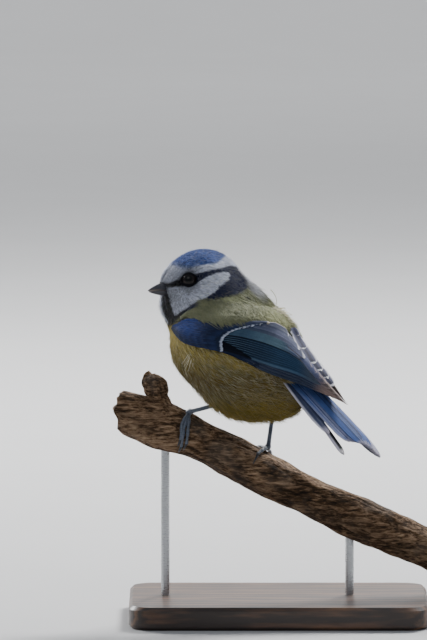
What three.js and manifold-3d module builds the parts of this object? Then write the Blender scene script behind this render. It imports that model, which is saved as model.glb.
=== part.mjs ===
// Blue tit on a cut length of branch, held by a plain display stand.
// Life size, millimetres, +Z up, origin at the centre of the stand's underside.
import * as THREE from 'three';
import { mergeVertices } from 'three/addons/utils/BufferGeometryUtils.js';
import Module from 'manifold-3d';

const wasm = await Module();
wasm.setup();

const DEG = Math.PI / 180;
const GAP = 0.3; // clear space between touching pieces
const WELD = 1e-3; // points closer than this are one point
const UP = new THREE.Vector3(0, 0, 1);

// Stand
const BASE_LENGTH = 104;
const BASE_DEPTH = 64;
const BASE_HEIGHT = 8;
const BASE_CORNER = 7;
const BASE_BEVEL = 1.2;
const ROD_RADIUS = 1.5;
const ROD_LEFT_X = -39.5;
const ROD_RIGHT_X = 24.7;

// Perch: its centre line from the broken upper end to the sawn lower end
const PERCH_LINE = [
  [-57.2, 73.6],
  [-32.9, 64.6],
  [-4.1, 50.3],
  [24.7, 36.3],
  [51.4, 24.1],
  [59.4, 20.4],
];
const PERCH_RADIUS = 7.2;
const PERCH_SIDES = 18;
const PERCH_RINGS = 26;
const STUB_FOOT = [-40.6, 69.0];
const STUB_TOP = [-43.9, 85.6];
const STUB_RADIUS = 4.3;

// Body: the bird faces away from the viewer's right, its head turned to its left
const BODY_YAW = 28 * DEG;
const BODY_PLACE = [-15.2, -1.5, 92.3];
const HEAD_TURN = 52 * DEG;
const HEAD_CENTRE = [12.6, 0, 24.5];
const BLEND = 4.0;
const BODY_SIDES = 34;
const BODY_ROWS = 22;
const CAP_ROWS = 6;

// Rounded forms that melt into the body: name, frame, centre, half sizes, pitch in degrees.
// Frame 'body' is the bird's own, 'neck' turns half way with the head, 'head' turns with it.
const FORMS = [
  ['belly', 'body', [-3.4, 0, -2.2], [22.0, 20.5, 18.0], 40],
  ['breast', 'body', [6.8, 0, 3.9], [16.0, 17.2, 16.6], 52],
  ['back', 'body', [-6.0, 0, 5.0], [20.0, 17.0, 15.2], 48],
  ['rump', 'body', [-16.5, 0, -3.0], [13.5, 10.5, 9.5], 45],
  ['vent', 'body', [-14.5, 0, -11.5], [11.0, 10.5, 7.6], 34],
  ['neck', 'neck', [9.6, 0, 15.0], [12.0, 12.0, 12.0], 60],
  ['nape', 'neck', [2.0, 0, 18.0], [12.0, 11.0, 8.5], 60],
  ['skull', 'head', [0.0, 0, 0.4], [13.0, 12.0, 11.5], 0],
  ['face', 'head', [7.6, 0, -0.5], [8.0, 7.6, 7.4], 0],
  ['left cheek', 'head', [1.5, 5.5, -4.5], [9.5, 7.2, 6.8], 0],
  ['right cheek', 'head', [1.5, -5.5, -4.5], [9.5, 7.2, 6.8], 0],
  ['throat', 'head', [5.6, 0, -8.5], [8.4, 7.5, 9.4], 0],
];
// Line inside the body that its surface is measured from: x, z, pitch, share of the head's turn
const SPINE = [
  [-9, -7, 44, 0],
  [-4, -1, 47, 0],
  [2, 7, 50, 0.1],
  [7, 14.5, 53, 0.3],
  [11.5, 22, 56, 0.5],
];

// Parting planes of head, neck and torso, as distances from the head's centre along the neck
const NECK_TURN = HEAD_TURN / 2;
const NECK_PITCH = 65.4 * DEG;
const HEAD_PART = -8.0;
const NECK_PART = -11.2;

// Head details, in the head's own frame
const EYE_PLACE = [9.4, 8.8, 2.6];
const EYE_RADIUS = 2.6;
const EYE_DEPTH = 1.75;
const LID_RADIUS = 2.55;
const LID_THICKNESS = 0.45;
const BILL_ROOT = 12.4;
const BILL_TIP = 21.1;
const BILL_WIDTH = 4.2;
const BILL_RISE = 3.0;
const BILL_DROP = 2.5;
const MOUTH_LEVEL = -1.5;
const MOUTH_WIDTH = 6;
const NOSTRIL_PLACE = [17.0, 1.25, 0.1];
const NOSTRIL_RADIUS = 0.36;

// Folded wing: lower and upper edge from the wrist to the tip, in the bird's frame
const WING_LOWER = [
  [15.9, 14.2, 9.4],
  [9.5, 18.6, 5.4],
  [-0.4, 21.2, 4.1],
  [-10.5, 20.2, 2.6],
  [-21.8, 15.4, -1.9],
  [-33.2, 8.8, -6.3],
  [-45.1, 1.5, -14.1],
];
const WING_UPPER = [
  [14.6, 14.4, 11.8],
  [8.3, 15.8, 14.2],
  [-2.3, 17.2, 14.3],
  [-12.9, 14.2, 14.0],
  [-20.9, 8.0, 11.0],
  [-28.9, 3.0, 3.2],
  [-44.9, 0.8, -13.6],
];
// The right wing lies a little lower, so that only its inner feathers show past the back
const WING_LOWER_RIGHT = [
  [15.9, 14.2, 9.4],
  [9.5, 18.6, 5.4],
  [-0.4, 21.2, 4.1],
  [-10.5, 20.0, 2.2],
  [-21.6, 14.8, -2.4],
  [-33.0, 7.5, -7.0],
  [-44.6, 1.5, -14.4],
];
const WING_UPPER_RIGHT = [
  [14.6, 14.4, 11.8],
  [8.3, 16.8, 12.0],
  [-2.3, 18.2, 11.0],
  [-12.2, 15.0, 8.2],
  [-19.5, 7.8, 5.8],
  [-28.5, 2.4, 2.2],
  [-44.4, 0.8, -13.9],
];
const WING_BULGE = 0.11;
const WING_DEPTH = 1.5;
const WING_CLEAR = 0.7; // least height of the sheet over the body
const WING_FLOOR = 0.05; // height of every vane's hidden under face
const VANE_THICKNESS = 0.55;
const VANE_CROWN = 0.03; // rise of a vane's middle line over its edges
const TIER_STEP = 0.15;

// Tail: root and lie in the bird's frame, and its feathers from the left outermost to the
// right outermost: place of the tip across the tail, length, and drop below the middle pair
const TAIL_ROOT = [-14.6, 0, 4.6];
const TAIL_PITCH = 42 * DEG;
const TAIL_SWING = 2 * DEG;
const TAIL_ROLL = 14 * DEG;
const TAIL_FEATHERS = [
  [8.4, 38.5, 2.6],
  [7.4, 48.2, 3.2],
  [3.9, 45.5, 2.2],
  [2.3, 46.5, 1.8],
  [1.0, 47.3, 1.4],
  [-0.2, 48.1, 1.2],
  [-1.0, 49.1, 1.2],
  [-1.7, 50.0, 1.4],
  [-2.3, 51.0, 1.6],
  [-2.9, 51.8, 1.8],
  [-3.5, 52.8, 2.0],
  [-4.1, 54.0, 2.2],
];
const TAIL_ROOT_LEFT = 6.0;
const TAIL_ROOT_RIGHT = -3.0;
const TAIL_ROOT_STEP = 0.12;
const TAIL_VANE_WIDTH = 6.4;
const TAIL_COVERTS = 5;
const TAIL_COVERT_LENGTH = 21;
const TAIL_COVERT_WIDTH = 5;
const TAIL_COVERT_MIDDLE = 1;
const TAIL_COVERT_FAN = [3, 7];
const TAIL_COVERT_SHORTER = 8;
const TAIL_COVERT_RISE = 0.8;
const TAIL_COVERT_DROP = 1.2;

// Legs
const TARSUS_RADIUS = 0.72;
const THIGH_OUT = 1.8;
const TARSUS_SIDES = 10;
const THIGH_RADII = [3.2, 2.6, TARSUS_RADIUS + 0.55];
const THIGH_INSIDE = 3;
const ANKLE_UP = 1.5;
const FOOT_RADII = [TARSUS_RADIUS + 0.15, 1.15, 1.1];
const FOOT_SINK = 0.6;
const TOE_RADIUS = 0.78;
const TOE_TAPER = [1.1, 0.8];
const TOE_STATIONS = 7;
const TOE_KNUCKLE = 0.12;
const TOE_LIFT = GAP + TOE_RADIUS + 0.25;
const CLAW_RADII = [0.52, 0.16];
const CLAW_STATIONS = 5;
const CLAW_DROP = 0.9;
const CLAW_ARCH = 0.35;
const HEEL_LEFT = [-14.6, -4.4, 77.2];
const HEEL_RIGHT = [-1.4, 3.0, 76.5];

const COLOURS = {
  crown: [0x3d6fae, 0.7, 0],
  yellow: [0xb9a548, 0.85, 0],
  blue: [0x39597f, 0.65, 0],
  tail: [0x4a70ad, 0.65, 0],
  bill: [0x35373d, 0.4, 0],
  eye: [0x0b0a0a, 0.08, 0],
  leg: [0x59636f, 0.55, 0],
  claw: [0x2e3138, 0.4, 0],
  bark: [0x6d5138, 0.9, 0],
  base: [0x4a4038, 0.5, 0],
  rod: [0xa9abad, 0.35, 1],
};

const vec = (p) => new THREE.Vector3(p[0], p[1], p[2]);
const mirrored = (p) => [p[0], -p[1], p[2]];
const lerp = (a, b, k) => a + (b - a) * k;

// A repeatable sequence of draws in 0..1
function makeRandom(seed) {
  let state = seed;
  return () => {
    state = (state * 1664525 + 1013904223) % 4294967296;
    return state / 4294967296;
  };
}

// Closed geometries to solids and back

function toSolid(geometry) {
  const plain = new THREE.BufferGeometry();
  plain.setAttribute('position', geometry.getAttribute('position').clone());
  if (geometry.index) plain.setIndex(geometry.index.clone());
  const merged = mergeVertices(plain, WELD);
  const mesh = new wasm.Mesh({
    numProp: 3,
    vertProperties: new Float32Array(merged.getAttribute('position').array),
    triVerts: new Uint32Array(merged.index.array),
  });
  return new wasm.Manifold(mesh);
}

function toGeometry(solid) {
  const mesh = solid.getMesh();
  const geometry = new THREE.BufferGeometry();
  const positions = new Float32Array(mesh.vertProperties);
  geometry.setAttribute('position', new THREE.BufferAttribute(positions, 3));
  geometry.setIndex(new THREE.BufferAttribute(new Uint32Array(mesh.triVerts), 1));
  return geometry;
}

function largest(solid) {
  const pieces = solid.decompose();
  pieces.sort((a, b) => b.volume() - a.volume());
  return pieces[0];
}

function joined(solids) {
  return solids.reduce((all, next) => all.add(next));
}

// Closed skin over rings of equal count, its ends closed by a fan to each end's middle
function loft(rings) {
  const count = rings[0].length;
  const points = rings.flat();
  const faces = [];
  for (let i = 0; i + 1 < rings.length; i += 1) {
    for (let j = 0; j < count; j += 1) {
      const a = i * count + j;
      const b = i * count + ((j + 1) % count);
      faces.push(a, b, b + count, a, b + count, a + count);
    }
  }
  const last = (rings.length - 1) * count;
  for (const [start, turned] of [[0, true], [last, false]]) {
    const middle = new THREE.Vector3();
    for (let j = 0; j < count; j += 1) middle.addScaledVector(points[start + j], 1 / count);
    const hub = points.length;
    points.push(middle);
    for (let j = 0; j < count; j += 1) {
      const a = start + j;
      const b = start + ((j + 1) % count);
      if (turned) faces.push(hub, b, a);
      else faces.push(hub, a, b);
    }
  }
  const geometry = new THREE.BufferGeometry().setFromPoints(points);
  geometry.setIndex(faces);
  return geometry;
}

// Round bar along a line of points, its radius given at each point
function bar(line, radii, sides) {
  const rings = line.map((point, i) => {
    const before = line[Math.max(i - 1, 0)];
    const after = line[Math.min(i + 1, line.length - 1)];
    const along = after.clone().sub(before).normalize();
    const side = Math.abs(along.y) < 0.9 ? new THREE.Vector3(0, 1, 0) : new THREE.Vector3(1, 0, 0);
    const across = side.clone().cross(along).normalize();
    const other = along.clone().cross(across);
    return Array.from({ length: sides }, (_, j) => {
      const turn = (j / sides) * 2 * Math.PI;
      return point
        .clone()
        .addScaledVector(across, radii[i] * Math.cos(turn))
        .addScaledVector(other, radii[i] * Math.sin(turn));
    });
  });
  return loft(rings);
}

// Stations along a vane, each with its share of the full width
const LONG_VANE = [[0, 0.7], [0.35, 0.95], [0.65, 1], [0.92, 0.74], [1, 0.25]];
const TAIL_VANE = [[0, 0.6], [0.5, 1], [0.9, 0.94], [0.97, 0.72], [1, 0.3]];
const SHORT_VANE = [[0, 0.75], [0.5, 1], [0.86, 0.8], [1, 0.3]];

// Thin vane: three points across its upper and its lower face at each station, both faces
// split into triangles alike. place(along, across, height) gives the point in space.
function vane(place, stations) {
  const points = [];
  for (const side of [1, -1]) {
    for (const [along, width] of stations) {
      const rise = (side * VANE_THICKNESS * (along === 1 ? 0.6 : 1)) / 2;
      points.push(
        place(along, -width, rise),
        place(along, 0, rise + VANE_CROWN),
        place(along, width, rise),
      );
    }
  }
  const rows = stations.length;
  const lower = rows * 3;
  const faces = [];
  const wall = (a, b) => [a, b, b + lower, a, b + lower, a + lower];
  for (let i = 0; i + 1 < rows; i += 1) {
    for (let j = 0; j < 2; j += 1) {
      const a = i * 3 + j;
      const square = [a, a + 1, a + 4, a, a + 4, a + 3];
      faces.push(...square, ...square.map((k) => k + lower).reverse());
    }
    faces.push(...wall(i * 3, i * 3 + 3), ...wall(i * 3 + 5, i * 3 + 2));
  }
  const last = lower - 3;
  for (const j of [0, 1]) faces.push(...wall(j + 1, j), ...wall(last + j, last + j + 1));
  const geometry = new THREE.BufferGeometry().setFromPoints(points);
  geometry.setIndex(faces);
  return facingOut(geometry);
}

function facingOut(geometry) {
  const solid = toSolid(geometry);
  if (solid.volume() > 0) return solid;
  const index = Array.from(geometry.index.array).reverse();
  const turned = geometry.clone();
  turned.setIndex(index);
  return toSolid(turned);
}

// The body's surface

const headTurn = new THREE.Matrix4().makeRotationZ(HEAD_TURN);
const headFrame = headTurn.clone().setPosition(vec(HEAD_CENTRE));
const fromHead = (p) => vec(p).applyMatrix4(headFrame);

const forms = FORMS.map(([, frame, centre, half, pitch]) => {
  const turn = new THREE.Matrix4().makeRotationY(-pitch * DEG);
  let middle = vec(centre);
  if (frame === 'head') {
    middle = fromHead(centre);
    turn.premultiply(headTurn);
  }
  if (frame === 'neck') {
    turn.premultiply(new THREE.Matrix4().makeRotationZ(HEAD_TURN / 2));
  }
  return { middle, half: vec(half), inverse: turn.clone().transpose() };
});

function roundForm(form, point) {
  const q = point.clone().sub(form.middle).applyMatrix4(form.inverse);
  const near = q.clone().divide(form.half);
  const far = near.clone().divide(form.half);
  return (near.length() * (near.length() - 1)) / Math.max(far.length(), 1e-9);
}

// Signed distance to the melted forms, below zero inside
function bodyDistance(point) {
  let distance = roundForm(forms[0], point);
  for (const form of forms.slice(1)) {
    const next = roundForm(form, point);
    const mix = Math.max(BLEND - Math.abs(distance - next), 0) / BLEND;
    distance = Math.min(distance, next) - (mix * mix * BLEND) / 4;
  }
  return distance;
}

function spineAt(s) {
  const place = s * (SPINE.length - 1);
  const i = Math.min(Math.floor(place), SPINE.length - 2);
  const [x, z, pitch, turn] = SPINE[i].map((value, k) => lerp(value, SPINE[i + 1][k], place - i));
  const yaw = turn * HEAD_TURN;
  const axis = new THREE.Vector3(
    Math.cos(pitch * DEG) * Math.cos(yaw),
    Math.cos(pitch * DEG) * Math.sin(yaw),
    Math.sin(pitch * DEG),
  );
  const left = new THREE.Vector3(-Math.sin(yaw), Math.cos(yaw), 0);
  return { origin: new THREE.Vector3(x, 0, z), axis, left, dorsal: axis.clone().cross(left) };
}

// Walks out from the origin until the distance passes the level, then halves the step
function surfacePoint(origin, direction, level) {
  const step = 1.5;
  let high = 0;
  const at = (t) => bodyDistance(origin.clone().addScaledVector(direction, t)) - level;
  while (at(high) <= 0) high += step;
  let low = Math.max(high - step, 0);
  for (let i = 0; i < 14; i += 1) {
    const middle = (low + high) / 2;
    if (at(middle) > 0) high = middle;
    else low = middle;
  }
  return origin.clone().addScaledVector(direction, (low + high) / 2);
}

// Whole body at a level of the distance, as rings round the spine with a cap at each end
function bodyShell(level) {
  const rows = [];
  for (let i = 1; i < CAP_ROWS; i += 1) rows.push([0, (i / CAP_ROWS - 1) * 90 * DEG]);
  for (let i = 0; i <= BODY_ROWS; i += 1) rows.push([i / BODY_ROWS, 0]);
  for (let i = 1; i < CAP_ROWS; i += 1) rows.push([1, (i / CAP_ROWS) * 90 * DEG]);
  const rings = rows.map(([s, lift]) => {
    const { origin, axis, left, dorsal } = spineAt(s);
    return Array.from({ length: BODY_SIDES }, (_, j) => {
      const turn = (j / BODY_SIDES) * 2 * Math.PI;
      const direction = dorsal
        .clone()
        .multiplyScalar(Math.cos(turn) * Math.cos(lift))
        .addScaledVector(left, Math.sin(turn) * Math.cos(lift))
        .addScaledVector(axis, Math.sin(lift));
      return surfacePoint(origin, direction, level);
    });
  });
  return loft(rings);
}

// Part of a solid between two planes square to a direction
function between(solid, origin, direction, from, to) {
  const length = to - from;
  const block = new THREE.BoxGeometry(120, 120, length);
  const middle = origin.clone().addScaledVector(direction, (from + to) / 2);
  block.applyQuaternion(new THREE.Quaternion().setFromUnitVectors(UP, direction));
  block.translate(middle.x, middle.y, middle.z);
  return largest(solid.intersect(toSolid(block)));
}

const root = new THREE.Group();
const birdFrame = new THREE.Matrix4().makeRotationZ(Math.PI - BODY_YAW).setPosition(vec(BODY_PLACE));
const standFrame = new THREE.Matrix4();

const materials = {};
for (const [name, [colour, roughness, metalness]] of Object.entries(COLOURS)) {
  materials[name] = () => new THREE.MeshStandardMaterial({ color: colour, roughness, metalness });
}

// Adds a solid given in a frame as one named piece, its points welded in the model's own frame
function addPart(frame, name, solid, material) {
  const placed = toSolid(toGeometry(solid).applyMatrix4(frame));
  const mesh = new THREE.Mesh(toGeometry(largest(placed)), materials[material]());
  mesh.name = name;
  root.add(mesh);
}

const bodyGeometry = bodyShell(0);
const clearGeometry = bodyShell(GAP);
const bodySolid = facingOut(bodyGeometry);
const clearBody = facingOut(clearGeometry);
const clearBodyOnStand = facingOut(clearGeometry.clone().applyMatrix4(birdFrame));

// Head with eye sockets, lids and the corners of the mouth

// Direction that leads straight out of the body at a point near its surface
function outwardAt(point) {
  const step = 0.5;
  const slope = [0, 1, 2].map((axis) => {
    const ahead = point.clone().setComponent(axis, point.getComponent(axis) + step);
    const behind = point.clone().setComponent(axis, point.getComponent(axis) - step);
    return bodyDistance(ahead) - bodyDistance(behind);
  });
  return vec(slope).normalize();
}

function eyeCentre(side) {
  const surface = fromHead([EYE_PLACE[0], side * EYE_PLACE[1], EYE_PLACE[2]]);
  const look = outwardAt(surface);
  surface.addScaledVector(look, -bodyDistance(surface));
  return { centre: surface.addScaledVector(look, -EYE_DEPTH), look };
}

function eyeBall(side, radius) {
  const { centre, look } = eyeCentre(side);
  const ball = new THREE.SphereGeometry(radius, 18, 10);
  ball.rotateX(Math.PI / 2);
  ball.applyQuaternion(new THREE.Quaternion().setFromUnitVectors(UP, look));
  ball.translate(centre.x, centre.y, centre.z);
  return facingOut(ball);
}

function lidRing(side) {
  const { centre, look } = eyeCentre(side);
  const ring = new THREE.TorusGeometry(LID_RADIUS, LID_THICKNESS, 6, 20);
  ring.applyQuaternion(new THREE.Quaternion().setFromUnitVectors(UP, look));
  const place = centre.clone().addScaledVector(look, EYE_DEPTH - 0.1);
  ring.translate(place.x, place.y, place.z);
  return facingOut(ring);
}

function mouthSlit() {
  const slit = new THREE.BoxGeometry(3.2, MOUTH_WIDTH, GAP);
  slit.translate(BILL_ROOT + 3.3, 0, MOUTH_LEVEL - GAP / 2);
  slit.applyMatrix4(headFrame);
  return toSolid(slit);
}

// Half of the bill: a profile of half widths and heights carried forward to its tip
function billHalf(upper) {
  const shape = upper
    ? { widths: [1, 0.86, 0.62, 0.36, 0.12], heights: [1, 0.93, 0.76, 0.5, 0.16], reach: BILL_TIP }
    : { widths: [0.92, 0.8, 0.56, 0.32, 0.12], heights: [1, 0.9, 0.66, 0.4, 0.16], reach: BILL_TIP - 0.5 };
  const direction = upper ? 1 : -1;
  const rise = upper ? BILL_RISE : BILL_DROP;
  const sides = 7;
  const rings = shape.widths.map((width, i) => {
    const along = i / (shape.widths.length - 1);
    const x = lerp(BILL_ROOT, shape.reach, along);
    const level = MOUTH_LEVEL - 0.35 * along * along - (upper ? 0 : GAP);
    const ring = [];
    for (let j = 0; j < sides; j += 1) {
      const turn = (j / (sides - 1)) * Math.PI;
      const y = (BILL_WIDTH / 2) * width * Math.cos(turn);
      const z = level + direction * rise * shape.heights[i] * Math.sin(turn) ** 0.8;
      ring.push(new THREE.Vector3(x, y, z));
    }
    ring.push(new THREE.Vector3(x, 0, level + direction * 0.02));
    return ring;
  });
  return facingOut(loft(rings).applyMatrix4(headFrame));
}

function nostril(side) {
  const pit = new THREE.IcosahedronGeometry(NOSTRIL_RADIUS, 1);
  pit.scale(1.3, 1, 0.8);
  pit.translate(NOSTRIL_PLACE[0], side * NOSTRIL_PLACE[1], NOSTRIL_PLACE[2]);
  pit.applyMatrix4(headFrame);
  return facingOut(pit);
}

const neckAxis = new THREE.Vector3(Math.cos(NECK_PITCH), 0, Math.sin(NECK_PITCH));
neckAxis.applyAxisAngle(UP, NECK_TURN);
const headMiddle = vec(HEAD_CENTRE);
const halfGap = GAP / 2;
const BEYOND = 90; // farther along the neck than any point of the body

let headSolid = between(bodySolid, headMiddle, neckAxis, HEAD_PART + halfGap, BEYOND);
for (const side of [1, -1]) {
  headSolid = headSolid.add(lidRing(side)).subtract(eyeBall(side, EYE_RADIUS + GAP));
}
headSolid = largest(headSolid.subtract(mouthSlit()));
addPart(birdFrame, 'head', headSolid, 'crown');
const neckSolid = between(bodySolid, headMiddle, neckAxis, NECK_PART + halfGap, HEAD_PART - halfGap);
addPart(birdFrame, 'neck', neckSolid, 'yellow');
const torsoSolid = between(bodySolid, headMiddle, neckAxis, -BEYOND, NECK_PART - halfGap);
addPart(birdFrame, 'torso', torsoSolid, 'yellow');
addPart(birdFrame, 'eye_left', eyeBall(1, EYE_RADIUS), 'eye');
addPart(birdFrame, 'eye_right', eyeBall(-1, EYE_RADIUS), 'eye');
const upperBill = billHalf(true).subtract(clearBody).subtract(nostril(1)).subtract(nostril(-1));
addPart(birdFrame, 'bill_upper', largest(upperBill), 'bill');
addPart(birdFrame, 'bill_lower', largest(billHalf(false).subtract(clearBody)), 'bill');

// Wings: a curved sheet between the two edges carries every feather

function makeWing(side, lowerLine, upperLine) {
  const edge = (list) => new THREE.CatmullRomCurve3(list.map((p) => vec(side > 0 ? p : mirrored(p))));
  const lower = edge(lowerLine);
  const upper = edge(upperLine);

  // Point over the sheet: s from wrist to tip, t from lower to upper edge, height above it
  function place(s, t, height) {
    const step = 0.01;
    const along = Math.min(Math.max(s, 0), 1);
    const a = lower.getPoint(along);
    const b = upper.getPoint(along);
    const ahead = lower.getPoint(Math.min(along + step, 1));
    const behind = lower.getPoint(Math.max(along - step, 0));
    const across = b.clone().sub(a);
    const outward = ahead.sub(behind).cross(across).normalize().multiplyScalar(side);
    const bulge = WING_BULGE * across.length() * 4 * t * (1 - t);
    const point = a.addScaledVector(across, t).addScaledVector(outward, bulge - WING_DEPTH);
    const lift = Math.max(WING_CLEAR - bodyDistance(point), 0);
    return point.addScaledVector(outward, lift + height);
  }

  // Feather from root to tip over the sheet, half widths as shares of the sheet's width
  function feather(from, to, [rootWidth, tipWidth], height, stations) {
    return vane((along, across, rise) => {
      const s = lerp(from[0], to[0], along);
      const t = lerp(from[1], to[1], along);
      const level = rise > 0 ? height + rise : WING_FLOOR;
      return place(s, t + across * lerp(rootWidth, tipWidth, along), level);
    }, stations);
  }

  // Arm and hand under every feather: place along the wing, share of its width, middle
  // and rise over the sheet
  const armRings = [
    [0, 0.45, 0.5, 0.5],
    [0.08, 0.9, 0.5, 0.95],
    [0.22, 0.96, 0.5, 1.05],
    [0.36, 0.92, 0.5, 0.95],
    [0.5, 0.84, 0.52, 0.6],
    [0.64, 0.76, 0.54, 0.28],
    [0.78, 0.56, 0.54, 0.24],
    [0.9, 0.4, 0.52, 0.22],
  ];
  const armSection = [[0, 0], [0.06, 0.7], [0.5, 1], [0.94, 0.7], [1, 0]];
  const arm = armRings.map(([s, size, middle, rise]) => {
    const at = (t) => middle + (t - 0.5) * size;
    const upperFace = armSection.map(([t, share]) => place(s, at(t), rise * share));
    const underFace = [0.94, 0.5, 0.06].map((t) => place(s, at(t), -VANE_THICKNESS / 2));
    return [...upperFace, ...underFace];
  });
  const feathers = [facingOut(loft(arm))];
  // Primaries, the longest and lowest first, each next one over it and shorter
  const primaries = 6;
  for (let i = 0; i < primaries; i += 1) {
    const k = i / (primaries - 1);
    const from = [lerp(0.22, 0.46, k), lerp(0.26, 0.34, k)];
    const to = [1 - 0.19 * k, lerp(0.5, 0.7, k)];
    feathers.push(feather(from, to, [0.26, lerp(0.46, 0.28, k)], i * TIER_STEP, LONG_VANE));
  }
  // Secondaries fan up from the primaries to the tertials
  const secondaries = 5;
  for (let i = 0; i < secondaries; i += 1) {
    const k = i / (secondaries - 1);
    const from = [0.4, lerp(0.24, 0.66, k)];
    const to = [lerp(0.82, 0.75, k), lerp(0.42, 0.78, k)];
    feathers.push(feather(from, to, [0.17, 0.17], 0.78 + i * TIER_STEP, LONG_VANE));
  }
  // Tertials along the upper edge
  const tertials = 3;
  for (let i = 0; i < tertials; i += 1) {
    const to = [0.79 - 0.07 * i, 0.84 + 0.03 * i];
    const width = 0.17 - 0.02 * i;
    feathers.push(feather([0.45, 0.8], to, [width, width], 1.3 + i * TIER_STEP, LONG_VANE));
  }
  // Primary coverts and alula along the lower edge
  const handCoverts = 3;
  for (let i = 0; i < handCoverts; i += 1) {
    const to = [0.56 - 0.08 * i, 0.12 + 0.04 * i];
    feathers.push(feather([0.2, 0.2], to, [0.14, 0.12], 0.9 + i * TIER_STEP, SHORT_VANE));
  }
  // Greater coverts, their tips along the wing-bar
  const greaterCoverts = 6;
  for (let i = 0; i < greaterCoverts; i += 1) {
    const k = i / (greaterCoverts - 1);
    const to = [lerp(0.42, 0.58, k), lerp(0.14, 0.88, k)];
    feathers.push(feather([to[0] - 0.2, lerp(0.24, 0.8, k)], to, [0.13, 0.13], 1.5 + i * 0.05, SHORT_VANE));
  }
  // Lesser coverts over the wrist
  const lesserCoverts = 4;
  for (let i = 0; i < lesserCoverts; i += 1) {
    const k = i / (lesserCoverts - 1);
    const to = [lerp(0.28, 0.38, k), lerp(0.18, 0.82, k)];
    feathers.push(feather([to[0] - 0.17, lerp(0.3, 0.7, k)], to, [0.2, 0.18], 1.75 + i * 0.05, SHORT_VANE));
  }
  return largest(joined(feathers).subtract(clearBody));
}

addPart(birdFrame, 'wing_left', makeWing(1, WING_LOWER, WING_UPPER), 'blue');
addPart(birdFrame, 'wing_right', makeWing(-1, WING_LOWER_RIGHT, WING_UPPER_RIGHT), 'blue');

// Tail: feathers fan from one root, the middle pair on top

function makeTail() {
  const lie = new THREE.Vector3(-Math.cos(TAIL_PITCH), 0, -Math.sin(TAIL_PITCH));
  const left = new THREE.Vector3(0, 1, 0);
  lie.applyAxisAngle(UP, -TAIL_SWING);
  left.applyAxisAngle(UP, -TAIL_SWING);
  left.applyAxisAngle(lie, TAIL_ROLL);
  const rise = lie.clone().cross(left).negate().normalize();
  if (rise.z < 0) rise.negate();
  const origin = vec(TAIL_ROOT);

  // Feather from one place across the root to another across the tips, sinking as it goes
  function feather(from, to, length, width, heights, stations) {
    return vane((along, across, lift) => origin
      .clone()
      .addScaledVector(lie, length * along)
      .addScaledVector(left, lerp(from, to, along) + (across * width) / 2)
      .addScaledVector(rise, lerp(heights[0], heights[1], along) + lift), stations);
  }

  const last = TAIL_FEATHERS.length - 1;
  const feathers = TAIL_FEATHERS.map(([to, length, drop], i) => {
    const from = lerp(TAIL_ROOT_LEFT, TAIL_ROOT_RIGHT, i / last);
    const sink = -TAIL_ROOT_STEP * Math.abs(i - last / 2);
    return feather(from, to, length, TAIL_VANE_WIDTH, [sink, sink - drop], TAIL_VANE);
  });
  for (let i = 0; i < TAIL_COVERTS; i += 1) {
    const side = 0.5 - i / (TAIL_COVERTS - 1);
    const length = TAIL_COVERT_LENGTH - TAIL_COVERT_SHORTER * Math.abs(side);
    const height = TAIL_COVERT_RISE - TAIL_COVERT_DROP * Math.abs(side);
    const [from, to] = TAIL_COVERT_FAN.map((fan) => TAIL_COVERT_MIDDLE + fan * side);
    feathers.push(feather(from, to, length, TAIL_COVERT_WIDTH, [height, height], SHORT_VANE));
  }
  return largest(joined(feathers).subtract(clearBody));
}

addPart(birdFrame, 'tail', makeTail(), 'tail');

// Perch, with a broken upper end, a snapped side stub and a sawn lower end

const perchCurve = new THREE.CatmullRomCurve3(PERCH_LINE.map(([x, z]) => new THREE.Vector3(x, 0, z)));

function perchFrame(u) {
  const middle = perchCurve.getPointAt(u);
  const along = perchCurve.getTangentAt(u);
  const towardViewer = new THREE.Vector3(0, -1, 0);
  return { middle, along, top: along.clone().cross(towardViewer).negate().normalize(), towardViewer };
}

function perchShell(extra) {
  const random = makeRandom(7);
  const rough = Array.from({ length: PERCH_SIDES }, () => random() - 0.5);
  const rings = [];
  for (let i = 0; i <= PERCH_RINGS; i += 1) {
    const u = i / PERCH_RINGS;
    const { middle, along, top, towardViewer } = perchFrame(u);
    const swell = 1 + 0.05 * Math.sin(u * 19) + 0.08 * Math.exp(-(((u - 0.16) / 0.06) ** 2));
    const ring = rough.map((value, j) => {
      const turn = (j / PERCH_SIDES) * 2 * Math.PI;
      const ridge = 0.35 * Math.sin(turn * 3 + u * 9) + 0.3 * value * Math.sin(u * 31 + j);
      const radius = PERCH_RADIUS * swell + ridge + extra;
      const torn = i === 0 ? 2.2 * (value + 0.3 * Math.cos(turn * 2)) : 0;
      const endGrowth = i === 0 ? -extra : extra * (i === PERCH_RINGS);
      return middle
        .clone()
        .addScaledVector(top, radius * Math.cos(turn))
        .addScaledVector(towardViewer, radius * Math.sin(turn))
        .addScaledVector(along, torn + endGrowth);
    });
    rings.push(ring);
  }
  return facingOut(loft(rings));
}

function stubShell(extra) {
  const random = makeRandom(19);
  const from = new THREE.Vector3(STUB_FOOT[0], 0, STUB_FOOT[1]);
  const to = new THREE.Vector3(STUB_TOP[0], 0, STUB_TOP[1]);
  const steps = [0, 0.3, 0.5, 0.7, 0.9, 1];
  const sizes = [1.7, 1.45, 1.12, 1, 0.98, 1.02];
  const sides = 12;
  const torn = Array.from({ length: sides }, () => 2.6 * (random() - 0.5));
  const rings = steps.map((k, i) => {
    const middle = from.clone().lerp(to, k);
    return torn.map((value, j) => {
      const turn = (j / sides) * 2 * Math.PI;
      const radius = STUB_RADIUS * sizes[i] + 0.3 * Math.sin(j * 2.4 + i) + extra;
      const lift = k === 1 ? value + 0.9 * Math.cos(turn) + extra : 0;
      return middle.clone().add(new THREE.Vector3(radius * Math.cos(turn), radius * Math.sin(turn), lift));
    });
  });
  return facingOut(loft(rings));
}

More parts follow.
